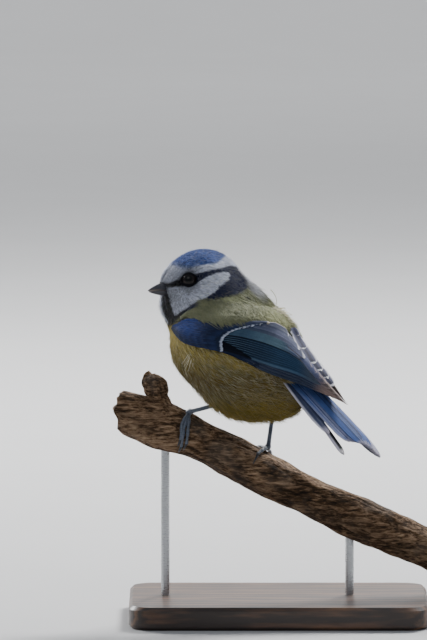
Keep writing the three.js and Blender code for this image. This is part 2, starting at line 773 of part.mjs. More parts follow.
const perchSolid = largest(perchShell(0).add(stubShell(0)));
const clearPerch = perchShell(GAP).add(stubShell(GAP));
addPart(standFrame, 'perch', perchSolid, 'bark');

// Legs: a feathered thigh out of the belly, the tarsus, and toes that grip the perch.
// A foot stands at u along the perch and at a turn round it, towards the viewer positive.
// Each toe: end turn in degrees, shift along the perch at its middle and end, claw turn.
const FEET = {
  left: {
    u: 0.19,
    turn: 24,
    stand: 1.35,
    heel: HEEL_LEFT,
    toes: [
      [-66, 0.3, 0.6, -36],
      [100, -1.2, 0.7, 26],
      [116, 0.2, 2.3, 28],
      [103, 1.6, 3.9, 26],
    ],
  },
  right: {
    u: 0.421,
    turn: -6,
    stand: 1.7,
    heel: HEEL_RIGHT,
    toes: [
      [46, -1.2, -2.4, 30],
      [-84, -3.6, -4.4, -26],
      [-100, -0.4, -0.6, -28],
      [-86, 2.8, 3.8, -26],
    ],
  },
};
const perchLength = perchCurve.getLength();

function roundPerch(u, turn, shift, distance) {
  const { middle, top, towardViewer } = perchFrame(u + shift / perchLength);
  return middle
    .addScaledVector(top, distance * Math.cos(turn * DEG))
    .addScaledVector(towardViewer, distance * Math.sin(turn * DEG));
}

function makeLeg(name, foot) {
  const joint = roundPerch(foot.u, foot.turn, 0, PERCH_RADIUS + GAP + foot.stand);
  const heel = vec(foot.heel);
  const upward = heel.clone().sub(joint).normalize();
  const toBird = birdFrame.clone().invert();
  const start = joint.clone();
  const step = 0.1;
  while (bodyDistance(start.clone().applyMatrix4(toBird)) > 0) start.addScaledVector(upward, step);
  const knee = start.clone().addScaledVector(upward, -THIGH_OUT);

  const inside = start.clone().addScaledVector(upward, THIGH_INSIDE);
  const thigh = bar([inside, start, knee], THIGH_RADII, TARSUS_SIDES);
  addPart(standFrame, `thigh_${name}`, largest(facingOut(thigh).subtract(clearBodyOnStand)), 'yellow');

  const ankle = knee.clone().addScaledVector(upward, -GAP);
  const low = joint.clone().addScaledVector(upward, ANKLE_UP);
  const shaft = [ankle, ankle.clone().lerp(low, 0.5), low.clone().lerp(ankle, 0.12), low];
  const shaftRadii = [TARSUS_RADIUS + 0.1, TARSUS_RADIUS, TARSUS_RADIUS, TARSUS_RADIUS + 0.12];
  addPart(standFrame, `tarsus_${name}`, facingOut(bar(shaft, shaftRadii, TARSUS_SIDES)), 'leg');

  const pads = [];
  const hub = joint.clone().addScaledVector(upward, ANKLE_UP - GAP);
  const below = roundPerch(foot.u, foot.turn, 0, PERCH_RADIUS + FOOT_SINK);
  pads.push(facingOut(bar([hub, joint, below], FOOT_RADII, TARSUS_SIDES)));
  foot.toes.forEach(([turnEnd, shiftMiddle, shiftEnd, clawTurn], i) => {
    const line = [];
    const radii = [];
    for (let k = 0; k < TOE_STATIONS; k += 1) {
      const along = k / (TOE_STATIONS - 1);
      const turn = lerp(foot.turn, turnEnd, along);
      const shift = along < 0.5
        ? lerp(0, shiftMiddle, along * 2)
        : lerp(shiftMiddle, shiftEnd, along * 2 - 1);
      const knuckle = 1 + TOE_KNUCKLE * Math.cos(along * 3 * 2 * Math.PI);
      line.push(roundPerch(foot.u, turn, shift, PERCH_RADIUS + TOE_LIFT));
      radii.push(TOE_RADIUS * lerp(TOE_TAPER[0], TOE_TAPER[1], along) * knuckle);
    }
    pads.push(facingOut(bar(line, radii, TOE_STATIONS)));
    const clawLine = [];
    const clawRadii = [];
    const gapTurn = (Math.sign(clawTurn) * (GAP / (PERCH_RADIUS + 1))) / DEG;
    for (let k = 0; k < CLAW_STATIONS; k += 1) {
      const along = k / (CLAW_STATIONS - 1);
      const height = TOE_LIFT - CLAW_DROP * along * along + CLAW_ARCH * Math.sin(along * Math.PI);
      const turn = turnEnd + gapTurn + clawTurn * along;
      clawLine.push(roundPerch(foot.u, turn, shiftEnd, PERCH_RADIUS + height));
      clawRadii.push(lerp(CLAW_RADII[0], CLAW_RADII[1], along));
    }
    const claw = facingOut(bar(clawLine, clawRadii, 6)).subtract(clearPerch);
    addPart(standFrame, `claw_${name}_${i + 1}`, largest(claw), 'claw');
  });
  addPart(standFrame, `foot_${name}`, largest(joined(pads).subtract(clearPerch)), 'leg');
}

makeLeg('left', FEET.left);
makeLeg('right', FEET.right);

// Display stand

function baseSolid() {
  const x = BASE_LENGTH / 2 - BASE_CORNER - BASE_BEVEL;
  const y = BASE_DEPTH / 2 - BASE_CORNER - BASE_BEVEL;
  const outline = new THREE.Shape();
  outline.absarc(x, y, BASE_CORNER, 0, 90 * DEG);
  outline.absarc(-x, y, BASE_CORNER, 90 * DEG, 180 * DEG);
  outline.absarc(-x, -y, BASE_CORNER, 180 * DEG, 270 * DEG);
  outline.absarc(x, -y, BASE_CORNER, 270 * DEG, 360 * DEG);
  const block = new THREE.ExtrudeGeometry(outline, {
    depth: BASE_HEIGHT - 2 * BASE_BEVEL,
    bevelThickness: BASE_BEVEL,
    bevelSize: BASE_BEVEL,
    bevelSegments: 1,
    curveSegments: 5,
  });
  block.translate(0, 0, BASE_BEVEL);
  return facingOut(block);
}

function rodSolid(x) {
  const rodTop = 60;
  const rod = new THREE.CylinderGeometry(ROD_RADIUS, ROD_RADIUS, rodTop - BASE_HEIGHT - GAP, 16);
  rod.rotateX(Math.PI / 2);
  rod.translate(x, 0, (rodTop + BASE_HEIGHT + GAP) / 2);
  const pieces = facingOut(rod).subtract(clearPerch).decompose();
  pieces.sort((a, b) => a.boundingBox().min[2] - b.boundingBox().min[2]);
  return pieces[0];
}

addPart(standFrame, 'stand_base', baseSolid(), 'base');
addPart(standFrame, 'stand_rod_left', rodSolid(ROD_LEFT_X), 'rod');
addPart(standFrame, 'stand_rod_right', rodSolid(ROD_RIGHT_X), 'rod');

export default root;
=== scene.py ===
import math

import bpy
import numpy as np
from bpy.props import FloatProperty, FloatVectorProperty, IntProperty, PointerProperty
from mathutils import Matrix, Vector


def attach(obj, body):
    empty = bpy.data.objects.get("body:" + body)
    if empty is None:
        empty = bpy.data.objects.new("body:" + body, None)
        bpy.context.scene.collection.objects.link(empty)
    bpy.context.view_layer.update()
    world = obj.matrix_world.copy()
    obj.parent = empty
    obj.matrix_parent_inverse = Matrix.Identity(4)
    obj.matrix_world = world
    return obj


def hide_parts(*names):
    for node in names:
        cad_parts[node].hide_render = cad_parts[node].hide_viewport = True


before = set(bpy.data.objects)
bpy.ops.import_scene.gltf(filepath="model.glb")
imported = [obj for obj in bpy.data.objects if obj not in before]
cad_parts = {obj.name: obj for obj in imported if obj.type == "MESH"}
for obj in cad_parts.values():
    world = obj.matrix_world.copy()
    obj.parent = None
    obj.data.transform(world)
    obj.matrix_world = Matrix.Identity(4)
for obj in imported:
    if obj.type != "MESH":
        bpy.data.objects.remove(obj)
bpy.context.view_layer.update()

bl_info = {
    "name": "Blue Tit Display Model",
    "version": (1, 0, 0),
    "blender": (4, 5, 0),
    "location": "3D View > Sidebar > Blue Tit",
    "description": "Builds a life-size blue tit on a cut length of branch and its display stand",
    "category": "Add Mesh",
}

MM = 0.001  # every size below is in millimetres, and meshes are in metres
SEED = 11

# ---- The bird's own frame: x forward, y to its left, z up ----
BODY_YAW = math.radians(180 - 28)
BODY_PLACE = np.array([-15.2, -1.5, 92.3])
HEAD_TURN = math.radians(52)
HEAD_CENTRE = np.array([12.6, 0.0, 24.5])
BLEND = 4.0
FORMS = (
    ("belly", "body", (-3.4, 0, -2.2), (22.0, 20.5, 18.0), 40),
    ("breast", "body", (6.8, 0, 3.9), (16.0, 17.2, 16.6), 52),
    ("back", "body", (-6.0, 0, 5.0), (20.0, 17.0, 15.2), 48),
    ("rump", "body", (-16.5, 0, -3.0), (13.5, 10.5, 9.5), 45),
    ("vent", "body", (-14.5, 0, -11.5), (11.0, 10.5, 7.6), 34),
    ("neck", "neck", (9.6, 0, 15.0), (12.0, 12.0, 12.0), 60),
    ("nape", "neck", (2.0, 0, 18.0), (12.0, 11.0, 8.5), 60),
    ("skull", "head", (0.0, 0, 0.4), (13.0, 12.0, 11.5), 0),
    ("face", "head", (7.6, 0, -0.5), (8.0, 7.6, 7.4), 0),
    ("left cheek", "head", (1.5, 5.5, -4.5), (9.5, 7.2, 6.8), 0),
    ("right cheek", "head", (1.5, -5.5, -4.5), (9.5, 7.2, 6.8), 0),
    ("throat", "head", (5.6, 0, -8.5), (8.4, 7.5, 9.4), 0),
)
SPINE = np.array([
    [-9, -7, 44, 0],
    [-4, -1, 47, 0],
    [2, 7, 50, 0.1],
    [7, 14.5, 53, 0.3],
    [11.5, 22, 56, 0.5],
], float)  # x, z, pitch in degrees, share of the head's turn
SKIN_DEPTH = 1.0
SKIN_COLUMNS = 200
SKIN_ROWS = 170
SKIN_CAP_ROWS = 40
COAT_GRID = (150, 24, 150)  # rows along the spine, rows at each end, columns
SIDES = ((1, "left"), (-1, "right"))

# ---- Markings of the head: angle round the head from the bill, height above its middle ----
CAP_EDGE = (
    (0, 34), (14, 32), (27, 30), (41, 31), (54, 36), (76, 38), (99, 41), (119, 46), (140, 50), (180, 53),
)
STRIPE_TOP = (
    (0, 3), (8, 3), (16, 4), (25, 9), (30, 15), (42, 21), (52, 21), (66, 24), (83, 27.5), (99, 29),
    (112, 31), (128, 30), (150, 23), (180, 21),
)
STRIPE_BOTTOM = (
    (0, -2), (17, -2), (28, 0), (41, 0), (53, 4), (61, 9), (71, 15.5), (81, 19), (92, 21), (102, 22),
    (110, 20), (180, 20),
)
CHEEK_EDGE = (
    (0, -46), (12, -42), (22, -37), (30, -34), (41, -29), (53, -22), (69, -15), (81, -7), (89, 1), (99, 7),
    (109, 14), (112, 24), (180, 30),
)
COLLAR_EDGE = (
    (0, -49), (17, -45), (32, -38), (47, -30.5), (65, -22.5), (81, -15), (90, -11), (101, -8), (112, -5),
    (139, 3), (180, 8),
)
BIB_EDGE = ((-47, 24), (-38, 22), (-33, 19), (-25, 15), (-16, 13), (-6, 10), (2, 6))
NAPE_EDGE = ((-8, 122), (-3, 123), (0, 125), (4, 128), (9, 132), (17, 136), (26, 140), (34, 150))
BIB_FAR_EDGE = ((-47, 4), (-40, -2), (-31, -5), (-23, -6), (-12, -6), (2, -5))

# ---- Wing edges from the wrist to the tip, as in the solids ----
WING_LOWER = (
    (15.9, 14.2, 9.4), (9.5, 18.6, 5.4), (-0.4, 21.2, 4.1), (-10.5, 20.2, 2.6), (-21.8, 15.4, -1.9),
    (-33.2, 8.8, -6.3), (-45.1, 1.5, -14.1),
)
WING_UPPER = (
    (14.6, 14.4, 11.8), (8.3, 15.8, 14.2), (-2.3, 17.2, 14.3), (-12.9, 14.2, 14.0), (-20.9, 8.0, 11.0),
    (-28.9, 3.0, 3.2), (-44.9, 0.8, -13.6),
)
WING_LOWER_RIGHT = WING_LOWER[:3] + (
    (-10.5, 20.0, 2.2), (-21.6, 14.8, -2.4), (-33.0, 7.5, -7.0), (-44.6, 1.5, -14.4),
)
WING_UPPER_RIGHT = (
    (14.6, 14.4, 11.8), (8.3, 16.8, 12.0), (-2.3, 18.2, 11.0), (-12.2, 15.0, 8.2), (-19.5, 7.8, 5.8),
    (-28.5, 2.4, 2.2), (-44.4, 0.8, -13.9),
)
WING_BULGE = 0.11
WING_DEPTH = 1.5
WING_CLEAR = 0.7
ROOF_CLEAR = 0.4

# ---- Tail ----
TAIL_ROOT = np.array([-14.6, 0.0, 4.6])
TAIL_PITCH = math.radians(42)
TAIL_SWING = math.radians(2)
TAIL_ROLL = math.radians(14)

# ---- Perch and feet ----
PERCH_LINE = (
    (-57.2, 0, 73.6), (-32.9, 0, 64.6), (-4.1, 0, 50.3), (24.7, 0, 36.3), (51.4, 0, 24.1), (59.4, 0, 20.4),
)
PERCH_RADIUS = 7.2
STUB_FOOT = (-40.6, 0, 69.0)
STUB_TOP = (-43.9, 0, 85.6)
STUB_RADIUS = 4.3
STUB_SHARES = (0, 0.18, 0.32, 0.45, 0.55, 0.64, 0.76, 0.86, 0.93, 0.97, 1)
STUB_SIZES = (1.75, 1.5, 1.2, 0.96, 0.86, 0.92, 0.98, 0.95, 0.8, 0.58, 0.3)
GAP = 0.3
TARSUS_RADIUS = 0.72
TOE_RADIUS = 0.62
# Each toe: turn at its end, shift along the perch at its middle and end, turn of the claw
FEET = {
    "left": {
        "u": 0.19, "turn": 24, "stand": 1.35, "heel": (-14.6, -4.4, 77.2),
        "toes": ((-66, 0.3, 0.6, -36), (100, -0.9, 0.9, 26), (116, 0.3, 2.1, 28), (103, 1.5, 3.3, 26)),
    },
    "right": {
        "u": 0.421, "turn": -6, "stand": 1.7, "heel": (-1.4, 3.0, 76.5),
        "toes": ((46, -1.2, -2.4, 30), (-84, -3.6, -4.4, -26), (-100, -0.4, -0.6, -28), (-86, 2.8, 3.8, -26)),
    },
}


# ---- Plain mathematics ----

def tint(code):
    """A colour as linear light from its usual six-digit code."""
    value = np.array([int(code[i:i + 2], 16) for i in (0, 2, 4)]) / 255
    return np.where(value <= 0.04045, value / 12.92, ((value + 0.055) / 1.055) ** 2.4)


def unit(v):
    return v / np.maximum(np.linalg.norm(v, axis=-1, keepdims=True), 1e-9)


def smooth(x, low=0.0, high=1.0):
    """0 below low, 1 above high, and 3x^2 - 2x^3 between."""
    x = np.clip((x - low) / (high - low), 0, 1)
    return x * x * (3 - 2 * x)


def mix(a, b, share):
    """From a at share 0 to b at share 1."""
    share = np.asarray(share)[..., None]
    return a + (b - a) * share


def painted(colour, *layers):
    """A colour with others laid over it in turn, each a code and its share."""
    for code, share in layers:
        colour = mix(colour, tint(code), share)
    return colour


def together(*parts):
    """Arrays or numbers, stretched to one shape, as the last axis of a new array."""
    return np.stack(np.broadcast_arrays(*parts), -1)


def bell(x, reach):
    """1 at 0 and falling on both sides as exp(-(x / reach)^2)."""
    return np.exp(-((x / reach) ** 2))


def bell_at(points, centre, reach):
    """The same bell by the distance from a point."""
    return np.exp(-(((points - centre) / reach) ** 2).sum(-1))


def about_z(angle):
    c, s = math.cos(angle), math.sin(angle)
    return np.array([[c, -s, 0], [s, c, 0], [0, 0, 1]])


def about_y(angle):
    c, s = math.cos(angle), math.sin(angle)
    return np.array([[c, 0, -s], [0, 1, 0], [s, 0, c]])


BIRD = about_z(BODY_YAW)
HEAD = about_z(HEAD_TURN)


def to_stand(points):
    """From the bird's frame to the model's: turned by the body's yaw, then moved to its place."""
    return points @ BIRD.T + BODY_PLACE


def to_bird(points):
    return (np.asarray(points, float) - BODY_PLACE) @ BIRD


def from_head(points):
    return np.asarray(points, float) @ HEAD.T + HEAD_CENTRE


def curve_at(table, s):
    """Smooth line through the table's points: between two of them a cubic whose slope at each
    is half the step between that point's neighbours."""
    p = np.asarray(table, float)
    p = np.vstack([2 * p[0] - p[1], p, 2 * p[-1] - p[-2]])
    x = np.clip(s, 0, 1) * (len(p) - 3)
    i = np.minimum(x.astype(int), len(p) - 4)
    f = (x - i)[..., None]
    a, b, c, d = p[i], p[i + 1], p[i + 2], p[i + 3]
    return 0.5 * (2 * b + (c - a) * f + (2 * a - 5 * b + 4 * c - d) * f**2 + (3 * b - a - 3 * c + d) * f**3)


def ripple(p, scale, seed):
    """Smooth noise from -1 to 1: the mean of five sine waves along random directions."""
    draw = np.random.default_rng(seed)
    total = 0
    for _ in range(5):
        direction = unit(draw.normal(size=3)) * draw.uniform(0.6, 1.6) / scale
        total = total + np.sin(p @ direction * 2 * math.pi + draw.uniform(0, 6.28))
    return total / 3


# ---- Body surface ----

def form_list():
    """Centre, turn and half sizes of every ellipsoid in the bird's frame."""
    placed = []
    for _, place, centre, half, pitch in FORMS:
        centre, turn = np.array(centre, float), about_y(math.radians(pitch))
        if place == "head":
            centre, turn = from_head(centre), HEAD @ turn
        if place == "neck":
            turn = about_z(HEAD_TURN / 2) @ turn
        placed.append((centre, turn, np.array(half)))
    return placed


PLACED_FORMS = form_list()


def body_level(points):
    """Distance to the melted ellipsoids, below zero inside. One ellipsoid gives |q|(|q| - 1)/|q/h|,
    q being the point over the half sizes h, and two melt as min(a, b) - k m^2 / 4."""
    level = None
    for centre, turn, half in PLACED_FORMS:
        q = (points - centre) @ turn / half
        near = np.linalg.norm(q, axis=-1)
        this = near * (near - 1) / np.maximum(np.linalg.norm(q / half, axis=-1), 1e-9)
        if level is None:
            level = this
            continue
        melt = np.maximum(BLEND - np.abs(level - this), 0) / BLEND
        level = np.minimum(level, this) - melt * melt * BLEND / 4
    return level


def outward_at(points, step=0.4):
    """The surface's outward direction: the slope of its level over two steps."""
    slope = [body_level(points + step * axis) - body_level(points - step * axis) for axis in np.eye(3)]
    return unit(np.stack(slope, -1))


def onto_level(points, level):
    """Moves points along the surface's slope until they lie at the level."""
    for _ in range(2):
        points = points + outward_at(points) * (level - body_level(points))[..., None]
    return points


CAST_STEP, CAST_REACH, CAST_HALVINGS = 1.5, 48, 11


def cast(origin, direction, level):
    """Where rays from inside the body first reach the level: coarse steps, then halving."""
    high = np.zeros(len(origin))
    reached = np.zeros(len(origin), bool)
    for step in np.arange(CAST_STEP, CAST_REACH, CAST_STEP):
        active = ~reached
        if not active.any():
            break
        high[active] = step
        found = body_level(origin[active] + direction[active] * step) > level
        reached[np.flatnonzero(active)[found]] = True
    low = high - CAST_STEP
    for _ in range(CAST_HALVINGS):
        middle = (low + high) / 2
        out = body_level(origin + direction * middle[:, None]) > level
        high, low = np.where(out, middle, high), np.where(out, low, middle)
    return origin + direction * ((low + high) / 2)[:, None]


def skin_grid(rows, caps, columns):
    """Skin points at (row, column): rays square to the spine, fanned out at both of its ends."""
    end = np.arange(1, caps) / caps
    share = np.concatenate([np.zeros(caps - 1), np.linspace(0, 1, rows), np.ones(caps - 1)])
    lift = np.concatenate([end - 1, np.zeros(rows), end]) * math.pi / 2
    x, z, pitch, turn = (np.interp(share, np.linspace(0, 1, len(SPINE)), SPINE[:, i]) for i in range(4))
    pitch, yaw = np.radians(pitch), turn * HEAD_TURN
    origin = together(x, 0, z)
    axis = together(np.cos(pitch) * np.cos(yaw), np.cos(pitch) * np.sin(yaw), np.sin(pitch))
    left = together(-np.sin(yaw), np.cos(yaw), 0)
    back = np.cross(axis, left)
    around = np.arange(columns) / columns * 2 * math.pi
    ring = np.cos(around)[None, :, None] * back[:, None] + np.sin(around)[None, :, None] * left[:, None]
    rays = ring * np.cos(lift)[:, None, None] + axis[:, None] * np.sin(lift)[:, None, None]
    origin = np.broadcast_to(origin[:, None], rays.shape)
    points = cast(origin.reshape(-1, 3), rays.reshape(-1, 3), -SKIN_DEPTH)
    return onto_level(points, np.minimum(fluff(points), 0) - SKIN_DEPTH).reshape(rays.shape)


def head_angles(points):
    """Angle round the head from the bill, height above its middle, and the point in the head's frame."""
    q = (points - HEAD_CENTRE) @ HEAD
    around = np.degrees(np.arctan2(np.abs(q[..., 1]), q[..., 0]))
    height = np.degrees(np.arcsin(q[..., 2] / np.maximum(np.linalg.norm(q, axis=-1), 1e-9)))
    return around, height, q


# ---- Plumage colours ----
CROWN = tint("465f9d")
CROWN_EDGE = tint("a9b4d2")
WHITE = tint("d8dcea")
NAVY = tint("1d2343")
BLACK = tint("141318")
MANTLE = tint("7e8060")
RUMP = tint("8d8f5c")
BREAST = tint("ac9a50")
# Belly and vent: the bird's own olive-yellow darkened by painted shade under the body and under the tail
SHADED_BELLY = tint("5b4c18")
SHADED_VENT = tint("6c5a1e")
FLANK = tint("66654f")
NAPE_SPOT = tint("dcdce2")


# Places where the plumage stands up, or lies lower by a height below zero: centre, reach, height
FLUFF = (
    ((-3.5, -2.5, 25.0), 6.0, 1.7),
    ((3.2, -0.7, 32.3), 3.0, 0.6),
    ((24.8, 9.3, 16.8), 3.6, 1.7),
    ((22.2, 11.0, 28.0), 2.4, 0.4),
    ((-11.5, -1.5, 20.0), 7.0, -1.7),
)
# Height of the swollen plumage beside each wing: left against places along the wing, right at both ends
SWELL = {"left": ((0.3, 0.45, 0.6, 0.74), (2.3, 1.9, 0.7, 0.2)), "right": (0.4, 0.0)}
SWELL_REACH = 6.0
FLECK = np.array([-7.94, 6.13, 20.9])
# Centre of the painted light on the mantle by the side of the neck
NECK_LIGHT = np.array([-2.8, 10.2, 20.6])


def edge_height(around, table):
    return np.interp(around, *zip(*table))


def body_colour(p, outward):
    """Yellow under parts that darken towards the belly and vent, partly their own olive and partly painted
    shade, greyer flanks, a faint dark streak down the middle of the breast, and the green mantle above a line
    along each side, with painted light on it by the side of the neck."""
    back = np.interp(p[..., 0], [-30, -14, 6, 16], [-8, 8.5, 12.0, 11.0])
    colour = mix(BREAST, SHADED_BELLY, smooth(-p[..., 2], -8, 8))
    colour = mix(colour, SHADED_VENT, smooth(-p[..., 0], 8, 18) * smooth(-p[..., 2], 6, 13))
    across = p[..., 2] + 1.0 - 0.3 * p[..., 0] + 1.2 * ripple(p, 5.0, 12)
    flank = np.exp(-(((p[..., 0] + 5) / 8.0) ** 2) - ((across / 2.2) ** 2))
    colour = mix(colour, FLANK, 0.45 * flank * (np.abs(p[..., 1]) > 8))
    streak = bell(p[..., 1], 1.6) * smooth(outward[..., 0], 0.1, 0.6)
    colour = mix(colour, NAVY, 0.45 * streak * smooth(-p[..., 2], -10, 2))
    upper = smooth(p[..., 2] - back, -1.2, 1.2)
    mantle = mix(MANTLE, RUMP, smooth(-p[..., 0], 8, 18))
    # Painted light: the mantle up to 1.9 times brighter round the side of the neck
    mantle = mantle * (1 + 0.9 * bell_at(p, NECK_LIGHT, 4.5)[..., None])
    return mix(colour, mantle, upper)


def plumage(p, outward):
    """The markings as the share of each colour over the one below it, from the body up to the cap."""
    around, height, q = head_angles(p)
    turned = np.where(q[..., 1] >= 0, around, -around)
    colour = body_colour(p, outward)
    above = lambda table, soft: smooth(height - edge_height(around, table), -soft, soft)
    dark = mix(NAVY, BLACK, smooth(-around, -60, -25))
    colour = mix(colour, dark, above(COLLAR_EDGE, 1.6))
    below = np.interp(around, [110, 135, 160, 180], [-7, -9, -6, -4])
    spot = smooth(around - edge_height(height, NAPE_EDGE), -4, 5) * smooth(height - below, -4, 3)
    spot = spot * np.where(q[..., 1] < 0, smooth(around, 148, 158), 1)
    colour = mix(colour, NAPE_SPOT, 0.9 * spot)
    cheek = above(CHEEK_EDGE, 1.4) * (1 - above(STRIPE_BOTTOM, 1.0)) * smooth(-around, -113, -109)
    near = smooth(turned - edge_height(height, BIB_EDGE), -1.5, 1.5)
    far = smooth(edge_height(height, BIB_FAR_EDGE) - turned, -1.5, 1.5)
    colour = mix(colour, WHITE, cheek * np.maximum(near, far))
    colour = mix(colour, WHITE, above(STRIPE_TOP, 1.2))
    soft = 3 + 6 * smooth(-around, -75, -30)
    cap = smooth(height - edge_height(around, CAP_EDGE), -soft, soft + 2)
    return mix(colour, mix(CROWN, CROWN_EDGE, 0.85 * (1 - smooth(cap, 0.1, 0.9))), smooth(cap, 0, 0.4))


def with_fleck(colour, points):
    """The small dark fleck on the mantle: a bell of 0.6 mm."""
    return mix(colour, BLACK, np.clip(1.6 * bell_at(points, FLECK, 0.6), 0, 1))


def fluff(points):
    """How far the plumage stands above its usual level: bell curves round a few places, and round the
    upper edges of the folded wings, so that the back flows over them."""
    total = 0
    for centre, reach, height in FLUFF:
        total = total + height * np.exp(-((points - np.array(centre)) ** 2).sum(-1) / reach**2)
    along = np.linspace(0.12, 0.74, 16)
    for side, word, lower, upper in wing_sides():
        edge = wing_point(lower, upper, side, along, 1.0, 0.0)
        gap = np.linalg.norm(points[..., None, :] - edge, axis=-1)
        nearest = gap.argmin(-1)
        above = smooth(points[..., 2] - edge[nearest, 2], -2, 1)
        height = np.linspace(*SWELL[word], 16) if side < 0 else np.interp(along, *SWELL[word])
        total = total + height[nearest] * bell(gap.min(-1), SWELL_REACH) * above
    return total


def lie_at(p, outward):
    """Which way feathers point: away from the bill and towards the tail's root, laid on the surface."""
    source = from_head([14.5, 0, -1.0])
    sink = np.array([-26.0, 0, -12.0])
    away, near = p - source, sink - p
    flow = away / np.maximum((away**2).sum(-1, keepdims=True), 1)
    flow = flow + 1.4 * near / np.maximum((near**2).sum(-1, keepdims=True), 20)
    flow = flow - (flow * outward).sum(-1, keepdims=True) * outward
    return unit(flow)


# ---- Meshes ----

def middles(rings):
    """Poles of shells: the middles of each one's first and last ring."""
    return np.stack([rings[:, 0].mean(1), rings[:, -1].mean(1)], 1)


def grid_cells(index, cells, margin):
    """Lower corners of square cells of the map, counted in rows."""
    return np.stack([index % cells, index // cells], -1) / cells + margin


def shells(rings, ends, patch, size):
    """Many closed shells of one kind. rings[n, r, k] are the points of shell n at station r and
    place k round it, ends[n, 0 or 1] its two poles. Shell n's map patch starts at patch[n]."""
    n, r, k = rings.shape[:3]
    row, col = (a.ravel() for a in np.meshgrid(np.arange(r - 1), np.arange(k), indexing="ij"))
    c = np.arange(k)
    after, after_c = (col + 1) % k, (c + 1) % k
    quads = np.stack([row * k + col, row * k + after, (row + 1) * k + after, (row + 1) * k + col], -1)
    first_pole, last_ring = r * k, (r - 1) * k
    low = together(first_pole, after_c, c)
    top = together(first_pole + 1, last_ring + c, last_ring + after_c)
    tris = np.concatenate([low, top])

    def on_map(*corners):
        return np.stack([together(across / k, up / (r + 1)) for across, up in corners], 1)

    quad_uv = on_map((col, row + 1), (col + 1, row + 1), (col + 1, row + 2), (col, row + 2))
    low_uv = on_map((c + 0.5, 0), (c + 1, 1), (c, 1))
    tri_uv = np.concatenate([low_uv, on_map((c + 0.5, r + 1), (c, r), (c + 1, r))])
    points = np.concatenate([rings.reshape(n, r * k, 3), ends], 1)
    # Turn every shell whose volume, the sum of a.(b x c)/6, comes out below zero
    split = np.concatenate([quads[:, [0, 1, 2]], quads[:, [0, 2, 3]], tris])
    local = points - points.mean(1, keepdims=True)
    a, b, d = (local[:, split[:, i]] for i in range(3))
    inside_out = np.einsum("nij,nij->n", a, np.cross(b, d)) < 0
    start = (np.arange(n) * (r * k + 2))[:, None, None]

    def spread(faces, uv):
        faces = faces[None] + start
        uv = np.broadcast_to(uv[None], (n,) + uv.shape)
        faces = np.where(inside_out[:, None, None], faces[..., ::-1], faces)
        uv = np.where(inside_out[:, None, None, None], uv[..., ::-1, :], uv)
        placed = patch[:, None, None] + uv * size
        corners = faces.shape[-1]
        return faces.reshape(-1, corners), placed.reshape(-1, corners, 2), uv.reshape(-1, corners, 2)

    return points.reshape(-1, 3), (spread(quads, quad_uv), spread(tris, tri_uv))


def piece(name, points, faces, material, colours=None, stands_for=(), body=True):
    """A mesh object from points in millimetres, sets of faces with their places on both maps, and point
    colours. A piece of the model rides the root and hides the solids it stands for."""
    mesh = bpy.data.meshes.new(name)
    mesh.vertices.add(len(points))
    mesh.vertices.foreach_set("co", np.ascontiguousarray(points * MM, np.float32).ravel())
    loops = np.concatenate([f[0].ravel() for f in faces])
    counts = np.concatenate([np.full(len(f[0]), f[0].shape[1]) for f in faces])
    starts = np.concatenate([[0], np.cumsum(counts)[:-1]])
    mesh.loops.add(len(loops))
    mesh.loops.foreach_set("vertex_index", loops.astype(np.int32))
    mesh.polygons.add(len(counts))
    mesh.polygons.foreach_set("loop_start", starts.astype(np.int32))
    mesh.polygons.foreach_set("use_smooth", np.ones(len(counts), bool))
    for layer, index in (("OFBake", 1), ("Along", 2)):
        uv = mesh.uv_layers.new(name=layer)
        uv.data.foreach_set(
            "uv", np.concatenate([f[index].reshape(-1, 2) for f in faces]).astype(np.float32).ravel()
        )
    if colours is not None:
        attribute = mesh.color_attributes.new(name="Plumage", type="FLOAT_COLOR", domain="POINT")
        rgba = np.concatenate([np.clip(colours, 0, 1), np.ones((len(colours), 1))], 1)
        attribute.data.foreach_set("color", rgba.astype(np.float32).ravel())
    mesh.update(calc_edges=True)
    mesh.materials.append(material)
    obj = bpy.data.objects.new(name, mesh)
    bpy.context.scene.collection.objects.link(obj)
    if body:
        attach(obj, "root")
        if stands_for:
            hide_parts(*stands_for)
    return obj


def one_shell(rings, ends=None):
    """Points and faces of a single closed shell over rings[r, k], with its ends closed at their middles
    unless poles are given. It takes up the whole map."""
    ends = middles(rings[None]) if ends is None else ends[None]
    return shells(rings[None], ends, np.array([[0.01, 0.01]]), 0.98)


def greys(values):
    return np.repeat(values[:, None], 3, 1)


def tube(line, radii, sides, shape=None):
    """Round bar: at each point of the line a circle of its radius, square to the line. shape(along,
    turn) may add to the radius."""
    line = np.asarray(line, float)
    along = unit(np.gradient(line, axis=0))
    side = np.where(np.abs(along[:, 1:2]) < 0.9, [[0.0, 1.0, 0.0]], [[1.0, 0.0, 0.0]])
    across = unit(np.cross(side, along))
    other = np.cross(along, across)
    turn = np.arange(sides) / sides * 2 * math.pi
    radius = np.asarray(radii, float)[:, None] * np.ones(sides)
    if shape is not None:
        radius = radius + shape(np.linspace(0, 1, len(line))[:, None], turn[None, :])
    cos, sin = np.cos(turn)[None, :, None], np.sin(turn)[None, :, None]
    return line[:, None] + radius[..., None] * (cos * across[:, None] + sin * other[:, None])


# ---- Materials ----

